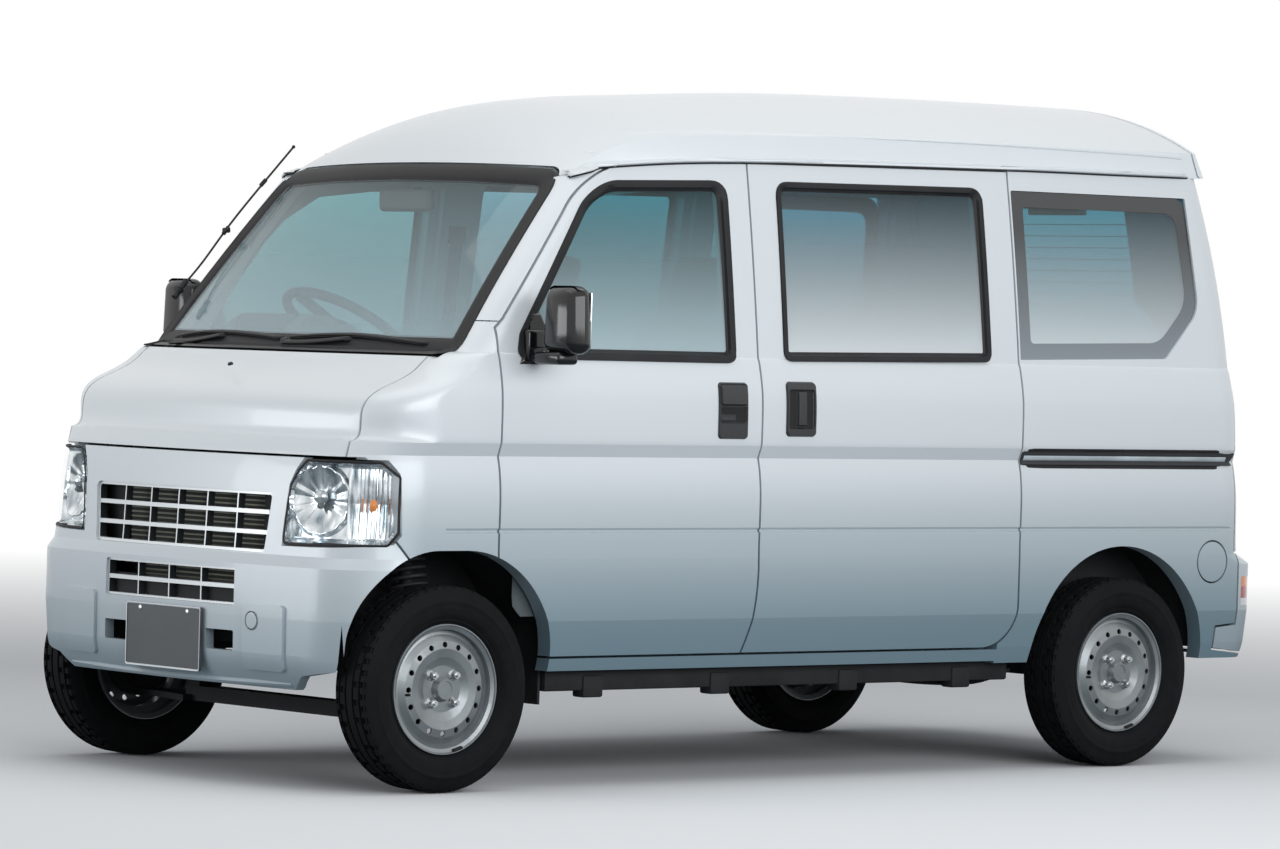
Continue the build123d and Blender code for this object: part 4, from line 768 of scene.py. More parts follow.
def relief(low, high, step, height):
    """A fine flat relief of (x, z) points; height(x, z) gives its height, or None where nothing is."""
    mesh = bmesh.new()
    columns = max(2, round((high[0] - low[0]) / step) + 1)
    rows = max(2, round((high[1] - low[1]) / step) + 1)
    grid = []
    for column in range(columns):
        x = low[0] + (high[0] - low[0]) * column / (columns - 1)
        line = []
        for row in range(rows):
            z = low[1] + (high[1] - low[1]) * row / (rows - 1)
            up = height(x, z)
            line.append(None if up is None else mesh.verts.new((x, up, z)))
        grid.append(line)
    for column in range(columns - 1):
        for row in range(rows - 1):
            corners = (grid[column][row], grid[column + 1][row], grid[column + 1][row + 1],
                       grid[column][row + 1])
            corners = [corner for corner in corners if corner is not None]
            if len(corners) > 2:
                mesh.faces.new(corners)
    return mesh


def triangle_plate(x, z):
    """Height of the corner plate: a crowned triangle with a rounded foot."""
    slope = (1.112 - x) * 0.80 + (z - 1.100) * -0.28
    inside = min(x - 1.000, slope, z - 1.100, 1.235 - z, 0.045 - (z - 1.19) * 0.9 - (1.03 - x) * 1.9)
    return None if inside < 0 else 0.0075 * ease(inside, 0.008) - 0.001


mirror_black = moulded_plastic("mirror_black", (0.0065, 0.0068, 0.0075), 1500, 0.16, 0.04)
plate = relief((1.0, 1.100), (1.112, 1.235), 0.004, triangle_plate)
lay_side(plate, reach=0.006)
both("corner_plate", plate, mirror_black, "door_left", "door_right", 40, "black_plastic")

# ---- Door mirrors -------------------------------------------------------------------------------
# Gloss black moulded housings, rounded all round, each on a short swivel arm and a foot on its corner
# plate; a silvered glass is set in the side that faces backwards.


def rounded_block(low, high, edge, segments=4, taper=0.0):
    """A block between two corners with rounded edges; taper draws in its top."""
    mesh = bmesh.new()
    bmesh.ops.create_cube(mesh, size=1.0)
    for vertex in mesh.verts:
        top = 1 - taper if vertex.co.z > 0 else 1.0
        vertex.co.x *= top
        vertex.co.y *= top
    bmesh.ops.scale(mesh, verts=mesh.verts, vec=[high[axis] - low[axis] for axis in range(3)])
    bmesh.ops.translate(mesh, verts=mesh.verts, vec=[(high[axis] + low[axis]) / 2 for axis in range(3)])
    bmesh.ops.bevel(mesh, geom=mesh.edges, offset=edge, segments=segments, profile=0.5, affect="EDGES",
                    clamp_overlap=True, material=-1)
    return mesh


def joined(*meshes):
    """Several meshes as one; the rest are freed."""
    first = meshes[0]
    for other in meshes[1:]:
        data = bpy.data.meshes.new("join")
        other.to_mesh(data)
        other.free()
        first.from_mesh(data)
        bpy.data.meshes.remove(data)
    return first


housing = rounded_block((1.018, 0.768, 1.128), (1.104, 0.913, 1.304), 0.030, 6, 0.10)
for vertex in housing.verts:
    if vertex.co.x > 1.07:
        outer = (vertex.co.y - 0.84) / 0.073
        upper = (vertex.co.z - 1.216) / 0.088
        vertex.co.x -= 0.018 * outer**2 + 0.012 * upper**2
recess = [face for face in housing.faces if face.normal.x < -0.99]
bmesh.ops.inset_region(housing, faces=recess, thickness=0.006, depth=0.0)
recess_corners = list({vertex for face in recess for vertex in face.verts})
bmesh.ops.translate(housing, verts=recess_corners, vec=(0.006, 0, 0))
arm = rounded_block((1.040, 0.712, 1.108), (1.086, 0.800, 1.146), 0.010, 3)
foot = rounded_block((1.030, 0.698, 1.104), (1.092, 0.730, 1.190), 0.010, 3)
cover = rounded_block((1.028, 0.752, 1.101), (1.096, 0.862, 1.134), 0.012, 3)
housing = joined(housing, arm, foot, cover)
silver = bpy.data.materials.new("mirror_silver")
silver.use_nodes = True
silver_shader = silver.node_tree.nodes["Principled BSDF"]
silver_shader.inputs["Base Color"].default_value = (0.82, 0.86, 0.88, 1)
silver_shader.inputs["Metallic"].default_value = 1.0
silver_shader.inputs["Roughness"].default_value = 0.04
mirror_glass = rounded_block((1.0205, 0.782, 1.144), (1.0245, 0.899, 1.288), 0.0018, 2)
both("mirror_glass", mirror_glass, silver, "door_left", "door_right", 40)
both("mirror_housing", housing, mirror_black, "door_left", "door_right", 50, "black_plastic")
for side in ("left", "right"):
    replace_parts(bpy.data.objects["mirror_housing_" + side], "mirror_" + side)

# ---- Quarter glass border and roof drip rails -------------------------------------------------------
# The quarter glasses have a black printed border, painted grey towards the foot as a painted reflection. Along
# each gutter runs a painted lip over a black sealing strip, and a low swage is pressed in the roof above.
quarter_outer = [(slide_seam - 0.014, 1.139), (-1.2555, 1.151), (-1.400, 1.290), (-1.3735, rise(0.890)),
                 (slide_seam - 0.014, rise(0.888))]
frit = Finish("printed_border")
# Grey towards the foot of the border is a painted reflection.
painted_reflection_fade = ((frit.axes()[2] - 1.16) / 0.34).limited()
frit_shader = frit.shade(Base_Color=frit.blend(painted_reflection_fade, (0.22, 0.26, 0.285), (0.010, 0.014, 0.017)),
                         Roughness=0.12, Coat_Weight=0.8)
printed_border = frit.done(frit_shader)


def flat_ring(corners, radii, width, height, inner_radii=None):
    """A flat printed ring just over a glass; its inner corners may be rounder than its outer ones."""
    mesh = bmesh.new()
    inner = [radius + width for radius in inner_radii] if inner_radii else radii
    lines = [[mesh.verts.new((spot.x, height, spot.y)) for spot in ring_row(corners, sizes, across, 0.04)]
             for across, sizes in ((0.0, radii), (width, inner))]
    for index in range(len(lines[0])):
        after = (index + 1) % len(lines[0])
        mesh.faces.new((lines[0][index], lines[0][after], lines[1][after], lines[1][index]))
    return mesh


border = flat_ring(quarter_outer, [0.012, 0.05, 0.05, 0.06, 0.012], 0.046, 0.0006,
                   [0.015, 0.10, 0.10, 0.05, 0.015])
lay_side(border, skin_of("side_windows"), 0.0)
both("quarter_border", border, printed_border, "van_body", "van_body", 30, "black_plastic")


def smooth_path(points, steps=6):
    """A smooth line through points, in two or three axes."""
    points = [Vector(point) for point in points]
    path = []
    for index in range(len(points) - 1):
        before = points[max(index - 1, 0)]
        here, there = points[index], points[index + 1]
        after = points[min(index + 2, len(points) - 1)]
        for step in range(steps):
            t = step / steps
            slope = (there - before) * t
            bend = (2 * before - 5 * here + 4 * there - after) * t**2
            twist = (3 * here - before - 3 * there + after) * t**3
            path.append(0.5 * (2 * here + slope + bend + twist))
    path.append(points[-1])
    return path


def ribbon(path, width, height, across=7, sink=0.0015, power=4):
    """A raised strip along a path of (x, z) points, crowned across and closed off at its ends."""
    mesh = bmesh.new()
    path = [Vector(point) for point in path]
    rows = []
    for index, point in enumerate(path):
        way = (path[min(index + 1, len(path) - 1)] - path[max(index - 1, 0)]).normalized()
        normal = Vector((-way.y, way.x))
        at_end = index in (0, len(path) - 1)
        row = []
        for step in range(across):
            share = step / (across - 1) * 2 - 1
            crown = -sink if at_end else height * (1 - abs(share) ** power) - sink * abs(share) ** power
            spot = point + normal * (share * width / 2)
            row.append(mesh.verts.new((spot.x, crown, spot.y)))
        rows.append(row)
    for low, high in zip(rows, rows[1:]):
        for step in range(across - 1):
            mesh.faces.new((low[step], low[step + 1], high[step + 1], high[step]))
    return mesh


gutter_line = smooth_path([(0.886, 1.5905), (0.8375, 1.604), (0.7405, 1.623), (0.3075, 1.649),
                           (-0.6575, 1.666), (-1.100, 1.669), (-1.395, 1.671)])
lip = ribbon([point + Vector((0, 0.0065)) for point in gutter_line], 0.013, 0.0085)
lay_side(lip, reach=0.010)
both("roof_lip", lip, panel_paint, "van_body", "van_body", 40, "body_paint")
strip = ribbon([point + Vector((0, -0.0015)) for point in gutter_line], 0.0055, 0.0035)
lay_side(strip, reach=0.006)
both("roof_strip", strip, seal_black, "van_body", "van_body", 40, "black_plastic")
swage_line = smooth_path([(0.640, 1.718), (0.500, 1.729), (0.200, 1.737), (-0.500, 1.740), (-1.150, 1.735),
                          (-1.400, 1.730)])
swage = ribbon(swage_line, 0.014, 0.0036, 7, 0.0004)
lay_side(swage, skin_of("roof_panel"), 0.0)
both("roof_swage", swage, panel_paint, "van_body", "van_body", 60, "body_paint")

# ---- Headlamps ----------------------------------------------------------------------------------
# Clear covers over a silvered bowl with a bulb shield, a fluted outer chamber with an amber bulb,
# and a dark seal round the edge.
lamp_out = Vector((0.8, 0.6, 0.0))
lamp_turn = Matrix(((-0.6, 0.8, 0, 0), (0.8, 0.6, 0, 0), (0, 0, 1, 0), (0, 0, 0, 1)))
lamp_outline = [(-0.637, 0.6245), (-0.631, 0.690), (-0.618, 0.779), (-0.597, 0.818), (-0.571, 0.8455),
                (-0.362, 0.8455), (-0.3125, 0.808), (-0.3125, 0.664), (-0.338, 0.629)]
lamp_radii = [0.018, 0, 0, 0, 0.014, 0.020, 0.015, 0.015, 0.015]
lamp_skin = skin_of("headlamps")


def lay_lamp(mesh, reach=0.0):
    """Lays a relief of the slanting lamp front on the lamp cover."""
    bmesh.ops.transform(mesh, verts=mesh.verts, matrix=lamp_turn)
    lay_on(mesh, lamp_skin, -lamp_out, reach)


def in_outline(u, v, outline):
    """How far a point is inside a convex outline given clockwise in (u, v)."""
    nearest = 1.0
    for index, corner in enumerate(outline):
        start = Vector(corner)
        edge = Vector(outline[(index + 1) % len(outline)]) - start
        nearest = min(nearest, (edge.y * (u - start.x) - edge.x * (v - start.y)) / edge.length)
    return nearest


bowl = Vector((-0.530, 0.742))
bowl_radius = 0.086
divider = (-0.4475, -0.4385)


def reflector_height(u, v):
    """The silvered inner wall: bowl, flat surround, divider and fluted outer chamber."""
    inside = in_outline(u, v, lamp_outline) - 0.006
    if inside < 0:
        return None
    wall = 0.030 * (1 - ease(inside, 0.012))
    from_bowl = math.hypot(u - bowl.x, v - bowl.y)
    if u < divider[0]:
        if from_bowl < bowl_radius:
            share = from_bowl / bowl_radius
            flutes = 14 * math.atan2(v - bowl.y, u - bowl.x)
            return -0.050 + 0.030 * share**2 + 0.0016 * math.sin(flutes) * share
        return -0.034 + 0.012 * ease(bowl_radius + 0.008 - from_bowl, 0.006) + wall
    if u < divider[1]:
        return -0.012 + 0.2 * wall
    return -0.044 + 0.0022 * math.cos((u - divider[1]) * 620) + 0.012 * abs((v - 0.735) / 0.1) + wall


lens = Finish("lamp_lens")
lens_glass = lens.done(lens.shade(Base_Color=(0.90, 0.95, 0.98), Roughness=0.02, Alpha=0.035, Coat_Weight=1.0))
dress(lens_glass, "headlamps")
silvered = Finish("silvered_reflector")
facet = silvered.add("TexVoronoi", {"feature": "SMOOTH_F1"},
                     {"Vector": silvered.place((1, 1, 0.45)), "Scale": 42}).out(0)
streak = silvered.noise(26, 2.0)
# Dark patches in the silver are a painted reflection of dark surroundings.
painted_reflection_share = ((facet * 1.6 + streak * 0.9) - 0.75).limited()
silver_colour = silvered.blend(painted_reflection_share, (0.90, 0.94, 0.96), (0.16, 0.21, 0.24))
silvered_metal = silvered.done(silvered.shade(Base_Color=silver_colour, Metallic=0.92, Roughness=0.14,
                                              Normal=silvered.bump(facet, 0.35, 0.002)))
wall_mesh = relief((-0.640, 0.620), (-0.308, 0.850), 0.0030, reflector_height)
lay_lamp(wall_mesh)
both("lamp_reflector", wall_mesh, silvered_metal, "van_body", "van_body", 60)
edge_seal = seal_ring(lamp_outline, lamp_radii, 0.0065, 0.0018, 0.0004)
lay_lamp(edge_seal, 0.003)
both("lamp_seal", edge_seal, seal_black, "van_body", "van_body", 40)


def ball(centre, radii, rings=10):
    """A small ellipsoid."""
    mesh = bmesh.new()
    bmesh.ops.create_uvsphere(mesh, u_segments=2 * rings, v_segments=rings, radius=1.0)
    bmesh.ops.scale(mesh, verts=mesh.verts, vec=radii)
    bmesh.ops.translate(mesh, verts=mesh.verts, vec=centre)
    return mesh


def bulb_at(u, v, depth, size):
    """A bulb in its chamber, drawn in the lamp's own relief and moved on to the lamp without bending."""
    mesh = ball((u, -depth, v), size)
    spot = lamp_turn @ Vector((u, 0, v))
    hit = lamp_skin.ray_cast(spot + lamp_out * 3.0, -lamp_out)[0]
    bmesh.ops.transform(mesh, verts=mesh.verts, matrix=lamp_turn)
    bmesh.ops.translate(mesh, verts=mesh.verts, vec=lamp_out * hit.dot(lamp_out))
    return mesh


amber = moulded_plastic("amber_bulb", (0.85, 0.26, 0.03), 200, 0.15, 0.02)
for name, material, u, v, depth, size, slot in (
    ("turn_bulb", amber, -0.384, 0.733, 0.026, (0.010, 0.012, 0.016), "lamp_glass"),
    ("beam_shield", silvered_metal, bowl.x, 0.750, 0.032, (0.019, 0.016, 0.019), None),
    ("beam_bulb", cabin_grey, bowl.x, 0.728, 0.034, (0.010, 0.014, 0.009), None),
):
    both(name, bulb_at(u, v, depth, size), material, "van_body", "van_body", 60, slot)

# ---- Grille and bumper details --------------------------------------------------------------------
# Silver blades and ribs, with their sideways faces painted dark as painted shade, over a radiator made
# near-black as painted shade, a plain blank number plate in a pale rim with two screws, a round cover over the
# towing eye, a pale lip under the bumper and a washer nozzle on the bonnet.
blade = Finish("blade_paint")
facing = blade.add("SeparateXYZ", None, {"Vector": blade.add("NewGeometry").out("Normal")})
# Faces that turn sideways are painted near-black: painted shade between the blades.
painted_side_shade = (facing.out("Y") * facing.out("Y") * 2.2 - 0.25).limited()
blade_colour = blade.blend(painted_side_shade, (0.72, 0.75, 0.76), (0.035, 0.040, 0.043))
blade_paint = blade.done(blade.shade(Base_Color=blade_colour, Metallic=0.3, Roughness=0.36, Coat_Weight=0.4,
                                     Coat_Roughness=0.08))
dress(blade_paint, "grilles")
plate_grey = moulded_plastic("plate_grey", (0.060, 0.070, 0.078), 900, 0.45, 0.12)
dress(plate_grey, "number_plate")
# A near-black coating used as painted shade: on the radiator behind the grille, round its opening and in the
# handle recesses.
painted_shade_black = coated_steel("painted_shade_black", (0.010, 0.011, 0.011), 0.6, 300, 0.3)
dress(painted_shade_black, "radiator")


fin_step = 0.0125
fin_height = 0.0055
fins = bmesh.new()
for index in range(26):
    z = 0.440 + index * fin_step
    fins = joined(fins, rounded_block((1.5945, -0.296, z), (1.5975, 0.296, z + fin_height), 0.0006, 1))
fin_metal = bright_metal("fin_metal", (0.10, 0.105, 0.085), 0.45, 0.2)
finish_mesh("radiator_fins", fins, fin_metal, "van_body", 40)
# Dark bars round the grille opening: painted shade under its lip and at its sides.
grille_shade = joined(
    rounded_block((1.596, -0.400, 0.590), (1.600, -0.300, 0.765), 0.001, 1),
    rounded_block((1.596, 0.300, 0.590), (1.600, 0.400, 0.765), 0.001, 1),
    rounded_block((1.600, -0.400, 0.764), (1.628, 0.400, 0.768), 0.001, 1),
    rounded_block((1.600, -0.396, 0.586), (1.632, 0.396, 0.590), 0.001, 1),
)
finish_mesh("grille_shade", grille_shade, painted_shade_black, "van_body", 40)
plate_face = 1.6972
plate_edge = [(-0.166, 0.283), (-0.166, 0.450), (0.166, 0.450), (0.166, 0.283)]
plate_rim = seal_ring(plate_edge, 0.010, 0.0062, 0.0022, 0.0008)
turn_to_nose(plate_rim)
bmesh.ops.translate(plate_rim, verts=plate_rim.verts, vec=(plate_face, 0, 0))
finish_mesh("plate_rim", plate_rim, blade_paint, "van_body", 40)


for side in (-1, 1):
    head_profile = [(0.0, 0.007), (0.0012, 0.007), (0.0024, 0.005), (0.0028, 0.0)]
    screw = turned(head_profile, (plate_face, side * 0.105, 0.435), 16, (1, 0, 0))
    finish_mesh(f"plate_screw_{side}", screw, nut_metal, "van_body", 50)

tow_eye = Vector((0.369, 0.427))


def disc_cover(x, z):
    """A round cover: a flat disc inside a thin groove."""
    radius = math.hypot(x - tow_eye.x, z - tow_eye.y)
    if radius > 0.0255:
        return None
    return 0.0018 - 0.0030 * ease(0.0018 - abs(radius - 0.0228), 0.0016)


tow_cover = relief((0.343, 0.401), (0.395, 0.453), 0.0016, disc_cover)
turn_to_nose(tow_cover)
lay_nose(tow_cover, reach=0.0)
finish_mesh("tow_cover", tow_cover, bumper_paint, "van_body", 30)
tow_angles = [step * math.pi / 12 for step in range(24)]
tow_circle = [tow_eye + 0.0236 * Vector((math.cos(angle), math.sin(angle))) for angle in tow_angles]
tow_ring = flat_ring(tow_circle, 0, 0.0016, 0.0019)
turn_to_nose(tow_ring)
lay_nose(tow_ring, reach=0.0)
finish_mesh("tow_ring", tow_ring, seal_black, "van_body", 30)


def swept(path, section):
    """Sweeps a closed (across, up) section along points, level across, capped at its ends."""
    mesh = bmesh.new()
    path = [Vector(point) for point in path]
    rings = []
    for index, point in enumerate(path):
        way = (path[min(index + 1, len(path) - 1)] - path[max(index - 1, 0)]).normalized()
        across = way.cross(Vector((0, 0, 1))).normalized()
        up = across.cross(way)
        rings.append([mesh.verts.new(point + across * side + up * rise_by) for side, rise_by in section])
    for low, high in zip(rings, rings[1:]):
        for index in range(len(section)):
            after = (index + 1) % len(section)
            mesh.faces.new((low[index], low[after], high[after], high[index]))
    mesh.faces.new(rings[0])
    mesh.faces.new(list(reversed(rings[-1])))
    return mesh


def round_section(radius, sides=12):
    """A circle of (across, up) points."""
    return [(radius * math.cos(2 * math.pi * index / sides), radius * math.sin(2 * math.pi * index / sides))
            for index in range(sides)]


def tube(path, radius, name, material, body, sides=12):
    """A round bar or hose along a smooth line through points."""
    return finish_mesh(name, swept(smooth_path(path), round_section(radius, sides)), material, body, 50)


lip_path = [(1.652 - (0.486 * (step / 12)) ** 2 / 7.5, 0.486 * step / 12, 0.262 + 0.006 * (step / 12) ** 2)
            for step in range(-12, 13)]
lip_section = [(0.020, -0.004), (0.024, 0.002), (0.020, 0.010), (-0.020, 0.016), (-0.024, 0.010),
               (-0.020, -0.002)]
skirt_lip = swept(lip_path, lip_section)
finish_mesh("skirt_lip", skirt_lip, bumper_paint, "van_body", 40)
nozzle_profile = [(0.0, 0.0075), (0.003, 0.0075), (0.0065, 0.0055), (0.008, 0.0)]
washer = turned(nozzle_profile, (1.502, 0, 1.0755), 16, (0.35, 0, 0.94))
finish_mesh("washer_nozzle", washer, seal_black, "bonnet_body", 50)

# ---- Door handles ---------------------------------------------------------------------------------
# Grained black handle plates: a lift flap over a pull recess with a key lock on the front doors, and a
# grip bar standing in a deep recess on the sliding doors. Plates, levers and grips are (middle, half, corner).
handle_black = moulded_plastic("handle_black", (0.020, 0.022, 0.024), 1300, 0.42, 0.35)


front_plate = ((0.3925, 0.988), (0.0525, 0.076), 0.012)
front_lever = ((0.4110, 0.968), (0.0250, 0.0080), 0.003)
slide_plate = ((0.151, 0.9945), (0.054, 0.0745), 0.014)
slide_grip = ((0.151, 0.9965), (0.0165, 0.0475), 0.004)


def front_handle(x, z):
    """Height of a front door's plate, with its lift flap, recess and lever."""
    inside = rounded_inside(x, z, *front_plate)
    if inside < 0:
        return None
    height = 0.0065 * ease(inside, 0.004) - 0.0008
    flap = rounded_inside(x, z, (0.3925, 1.030), (0.0455, 0.0275), 0.007)
    recess = rounded_inside(x, z, (0.3925, 0.977), (0.0465, 0.0225), 0.006)
    height += 0.0035 * ease(flap, 0.003) - 0.0022 * ease(0.0022 - abs(flap), 0.0018)
    height -= 0.0048 * ease(recess, 0.0022)
    return height + 0.0035 * ease(rounded_inside(x, z, *front_lever), 0.0025)


def slide_handle(x, z):
    """Height of a sliding door's plate, with its deep recess and standing grip."""
    inside = rounded_inside(x, z, *slide_plate)
    if inside < 0:
        return None
    recess = rounded_inside(x, z, (0.151, 0.9945), (0.0455, 0.0530), 0.008)
    grip = rounded_inside(x, z, *slide_grip)
    return 0.0070 * ease(inside, 0.004) - 0.0008 - 0.0052 * ease(recess, 0.0024) + 0.0090 * ease(grip, 0.0040)


def front_recess(x, z):
    """The floor of a front handle's recess, round its lever: a near-black sheet of painted shade over the black
    plastic.
    """
    clear = rounded_inside(x, z, *front_lever)
    inside = rounded_inside(x, z, (0.3925, 0.977), (0.0445, 0.0205), 0.005)
    return 0.0012 if inside > 0 and clear < -0.0015 else None


def slide_recess(x, z):
    """The floor of a sliding door handle's recess, round its grip: a near-black sheet of painted shade over the
    black plastic.
    """
    clear = rounded_inside(x, z, *slide_grip)
    inside = rounded_inside(x, z, (0.151, 0.9945), (0.0435, 0.0510), 0.007)
    return 0.0015 if inside > 0 and clear < -0.0015 else None


doors = ("door_left", "door_right")
fixed = ("van_body", "van_body")
for name, low, high, step, height, material, bodies in (
    ("front_recess", (0.347, 0.955), (0.439, 0.999), 0.0014, front_recess, painted_shade_black, doors),
    ("slide_recess", (0.106, 0.943), (0.196, 1.046), 0.0014, slide_recess, painted_shade_black, fixed),
    ("front_handle", (0.339, 0.911), (0.446, 1.065), 0.0016, front_handle, handle_black, doors),
    ("slide_handle", (0.096, 0.919), (0.206, 1.070), 0.0016, slide_handle, handle_black, fixed),
):
    plate = relief(low, high, step, height)
    lay_side(plate, reach=0.0)
    both(name, plate, material, *bodies, 28, "black_plastic")
lock_profile = [(0.0, 0.0085), (0.0035, 0.0085), (0.0045, 0.0075), (0.0045, 0.0055), (0.0030, 0.0050),
                (0.0030, 0.0)]
lock = turned(lock_profile, (0.366, 0.7360, 0.930), 20)
both("key_lock", lock, nut_metal, "door_left", "door_right", 40, "steel")

# ---- Slide rails ----------------------------------------------------------------------------------
# A bright centre strip runs along the black channel on which each sliding door hangs, between the
# channel's two rolled lips, which are laid over the edge of the body side.
rail_bright = coated_steel("rail_bright", (0.40, 0.44, 0.46), 0.4, 300, 0.1)
rail_width = 0.013
strip = ribbon([(-0.684 - 0.0800 * step, 0.869) for step in range(11)], rail_width, 0.0022)
lay_side(strip, skin_of("slide_rails"), 0.006)
both("rail_strip", strip, rail_bright, "van_body", "van_body", 40, "aluminium")
for name, z in (("rail_lip_high", 0.8900), ("rail_lip_low", 0.8460)):
    strip = ribbon([(-0.681 - 0.0845 * step, z) for step in range(11)], rail_width, 0.0020)
    lay_side(strip, skin_of("body_sides", "slide_rails"), 0.002)
    both(name, strip, seal_black, "van_body", "van_body", 40, "black_plastic")

# ---- Wipers ---------------------------------------------------------------------------------------
# Black pressed arms on spline caps at the foot of the windscreen, each with a bowed blade; the
# cowl under them is grained black plastic.
dress(trim_dark, "cowl_panel")
wiper_black = coated_steel("wiper_black", (0.006, 0.006, 0.007), 0.38, 500, 0.1)
screen_skin = skin_of("windscreen", "cowl_panel", "bonnet")


def wiper(name, pivot, elbow, middle, blade):
    """One arm and blade in Y and Z, laid on the windscreen."""
    arm = ribbon(smooth_path([pivot, elbow, middle]), 0.017, 0.022, 7, 0.0)
    back = ribbon(smooth_path(blade), 0.009, 0.017, 5, 0.0)
    edge = ribbon([point + Vector((0, -0.0045)) for point in smooth_path(blade)], 0.005, 0.011, 5, 0.002)
    half_clip = Vector((0.03, 0.001))
    clip = ribbon([Vector(middle) - half_clip, Vector(middle) + half_clip], 0.016, 0.024, 5, 0.0)
    mesh = joined(arm, back, edge, clip)
    turn_to_nose(mesh)
    lay_nose(mesh, screen_skin, 0.0)
    cap_foot = (1.333 - pivot[0] ** 2 / 5, pivot[0], 1.128)
    cap = turned([(0.0, 0.015), (0.016, 0.015), (0.022, 0.010), (0.023, 0.0)], cap_foot, 18, (0.35, 0, 0.94))
    return finish_mesh(name, joined(mesh, cap), wiper_black, "van_body", 40)


first = wiper("wiper_right", (-0.545, 1.132), (-0.42, 1.136), (-0.27, 1.155),
              [(-0.535, 1.148), (-0.40, 1.160), (-0.27, 1.162), (-0.13, 1.158), (0.005, 1.150)])
second = wiper("wiper_left", (0.015, 1.139), (0.14, 1.142), (0.285, 1.155),
               [(0.025, 1.153), (0.15, 1.161), (0.285, 1.164), (0.42, 1.157), (0.560, 1.147)])
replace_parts(first, "wipers")
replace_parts(second, "wipers")

# ---- Aerial ---------------------------------------------------------------------------------------
# A telescopic steel aerial along the right windscreen pillar, on a moulded foot and two clips, with a
# ball at its tip.
aerial_path = [(1.200, -0.642, 1.285), (1.131, -0.652, 1.349), (1.017, -0.653, 1.482), (0.850, -0.625, 1.677)]
tube(aerial_path, 0.0030, "aerial_rod", wiper_black, "van_body", 10)
aerial_foot = joined(
    swept(smooth_path([(1.232, -0.640, 1.250), (1.190, -0.645, 1.296)]), round_section(0.0085)),
    swept(smooth_path([(1.062, -0.653, 1.429), (1.046, -0.653, 1.448)]), round_section(0.0060)),
    swept(smooth_path([(0.945, -0.645, 1.566), (0.930, -0.642, 1.583)]), round_section(0.0060)),
    ball((0.850, -0.625, 1.677), (0.005, 0.005, 0.005)),
    rounded_block((1.205, -0.655, 1.262), (1.225, -0.632, 1.282), 0.004, 2),
    rounded_block((1.046, -0.662, 1.432), (1.062, -0.640, 1.446), 0.004, 2),
)
finish_mesh("aerial_clips", aerial_foot, wiper_black, "van_body", 50)

# ---- Rear lamps and tailgate fittings -------------------------------------------------------------
# Bumper lamps in three coloured zones, a lifting handle and plate lamp on the tailgate, a wiper at the
# foot of its glass, a high stop lamp inside it and demister lines printed across it.


def zoned_lens():
    """Prismatic lamp plastic: amber at the top, red in the middle, clear at the foot."""
    look = Finish("tail_lens")
    x, y, z = look.axes()
    amber_part = ((z - 0.5045) * 900).limited()
    clear_part = ((0.4725 - z) * 900).limited()
    red_or_amber = look.blend(amber_part, (0.42, 0.010, 0.012), (0.80, 0.20, 0.02))
    base = look.blend(clear_part, red_or_amber, (0.72, 0.74, 0.76))
    prism = look.add("TexVoronoi", {"feature": "F1", "distance": "CHEBYCHEV"},
                     {"Vector": look.place(), "Scale": 260}).out(0)
    shader = look.shade(Base_Color=base, Roughness=0.08, Coat_Weight=1.0,
                        Normal=look.bump(prism, 0.35, 0.0012))
    return look.done(shader)


tail_lens = zoned_lens()
dress(tail_lens, "tail_lamps")
tail_seal = seal_ring(tail_edge, [0.05, 0.06, 0.06, 0.05], 0.026, 0.004, 0.0045)
turn_to_tail(tail_seal)
lay_tail(tail_seal, reach=0.002)
finish_mesh("tail_window_seal", tail_seal, seal_black, "tailgate_body", 30)
defrost = coated_steel("defrost_line", (0.10, 0.055, 0.03), 0.5, 100, 0.1)
lines = bmesh.new()
for index in range(11):
    wire = [(-0.47 + 0.094 * step, 1.20 + index * 0.034) for step in range(11)]
    lines = joined(lines, ribbon(wire, 0.0022, 0.0004, 3, 0.0002))
turn_to_tail(lines)
lay_tail(lines, skin_of("rear_window"), 0.0)
finish_mesh("demister_lines", lines, defrost, "tailgate_body", 40)


def plate_relief(y, z):
    """Height of the rear number plate: a blank sheet inside a raised edge."""
    inside = rounded_inside(y, z, (0, 0.785), (0.165, 0.0825), 0.008)
    if inside <= 0:
        return None
    sheet = rounded_inside(y, z, (0, 0.785), (0.159, 0.0765), 0.006)
    return 0.0035 * ease(inside, 0.002) - 0.0008 * ease(sheet, 0.002)


rear_plate = relief((-0.170, 0.700), (0.170, 0.870), 0.005, plate_relief)
turn_to_tail(rear_plate)
lay_tail(rear_plate, reach=0.0)
finish_mesh("rear_plate", rear_plate, plate_grey, "tailgate_body", 30)


def tail_handle(y, z):
    """Height of the tailgate's lifting handle, with its grip and its two plate lamps."""
    inside = rounded_inside(y, z, (0, 0.935), (0.190, 0.034), 0.016)
    if inside < 0:
        return None
    grip = rounded_inside(y, z, (0, 0.922), (0.060, 0.013), 0.006)
    lamps = (rounded_inside(y, z, (middle, 0.915), (0.030, 0.008), 0.003) for middle in (0.125, -0.125))
    lamp_dip = 0.003 * sum(ease(lamp, 0.002) for lamp in lamps)
    return 0.024 * ease(inside, 0.014) - 0.016 * ease(grip, 0.004) - lamp_dip


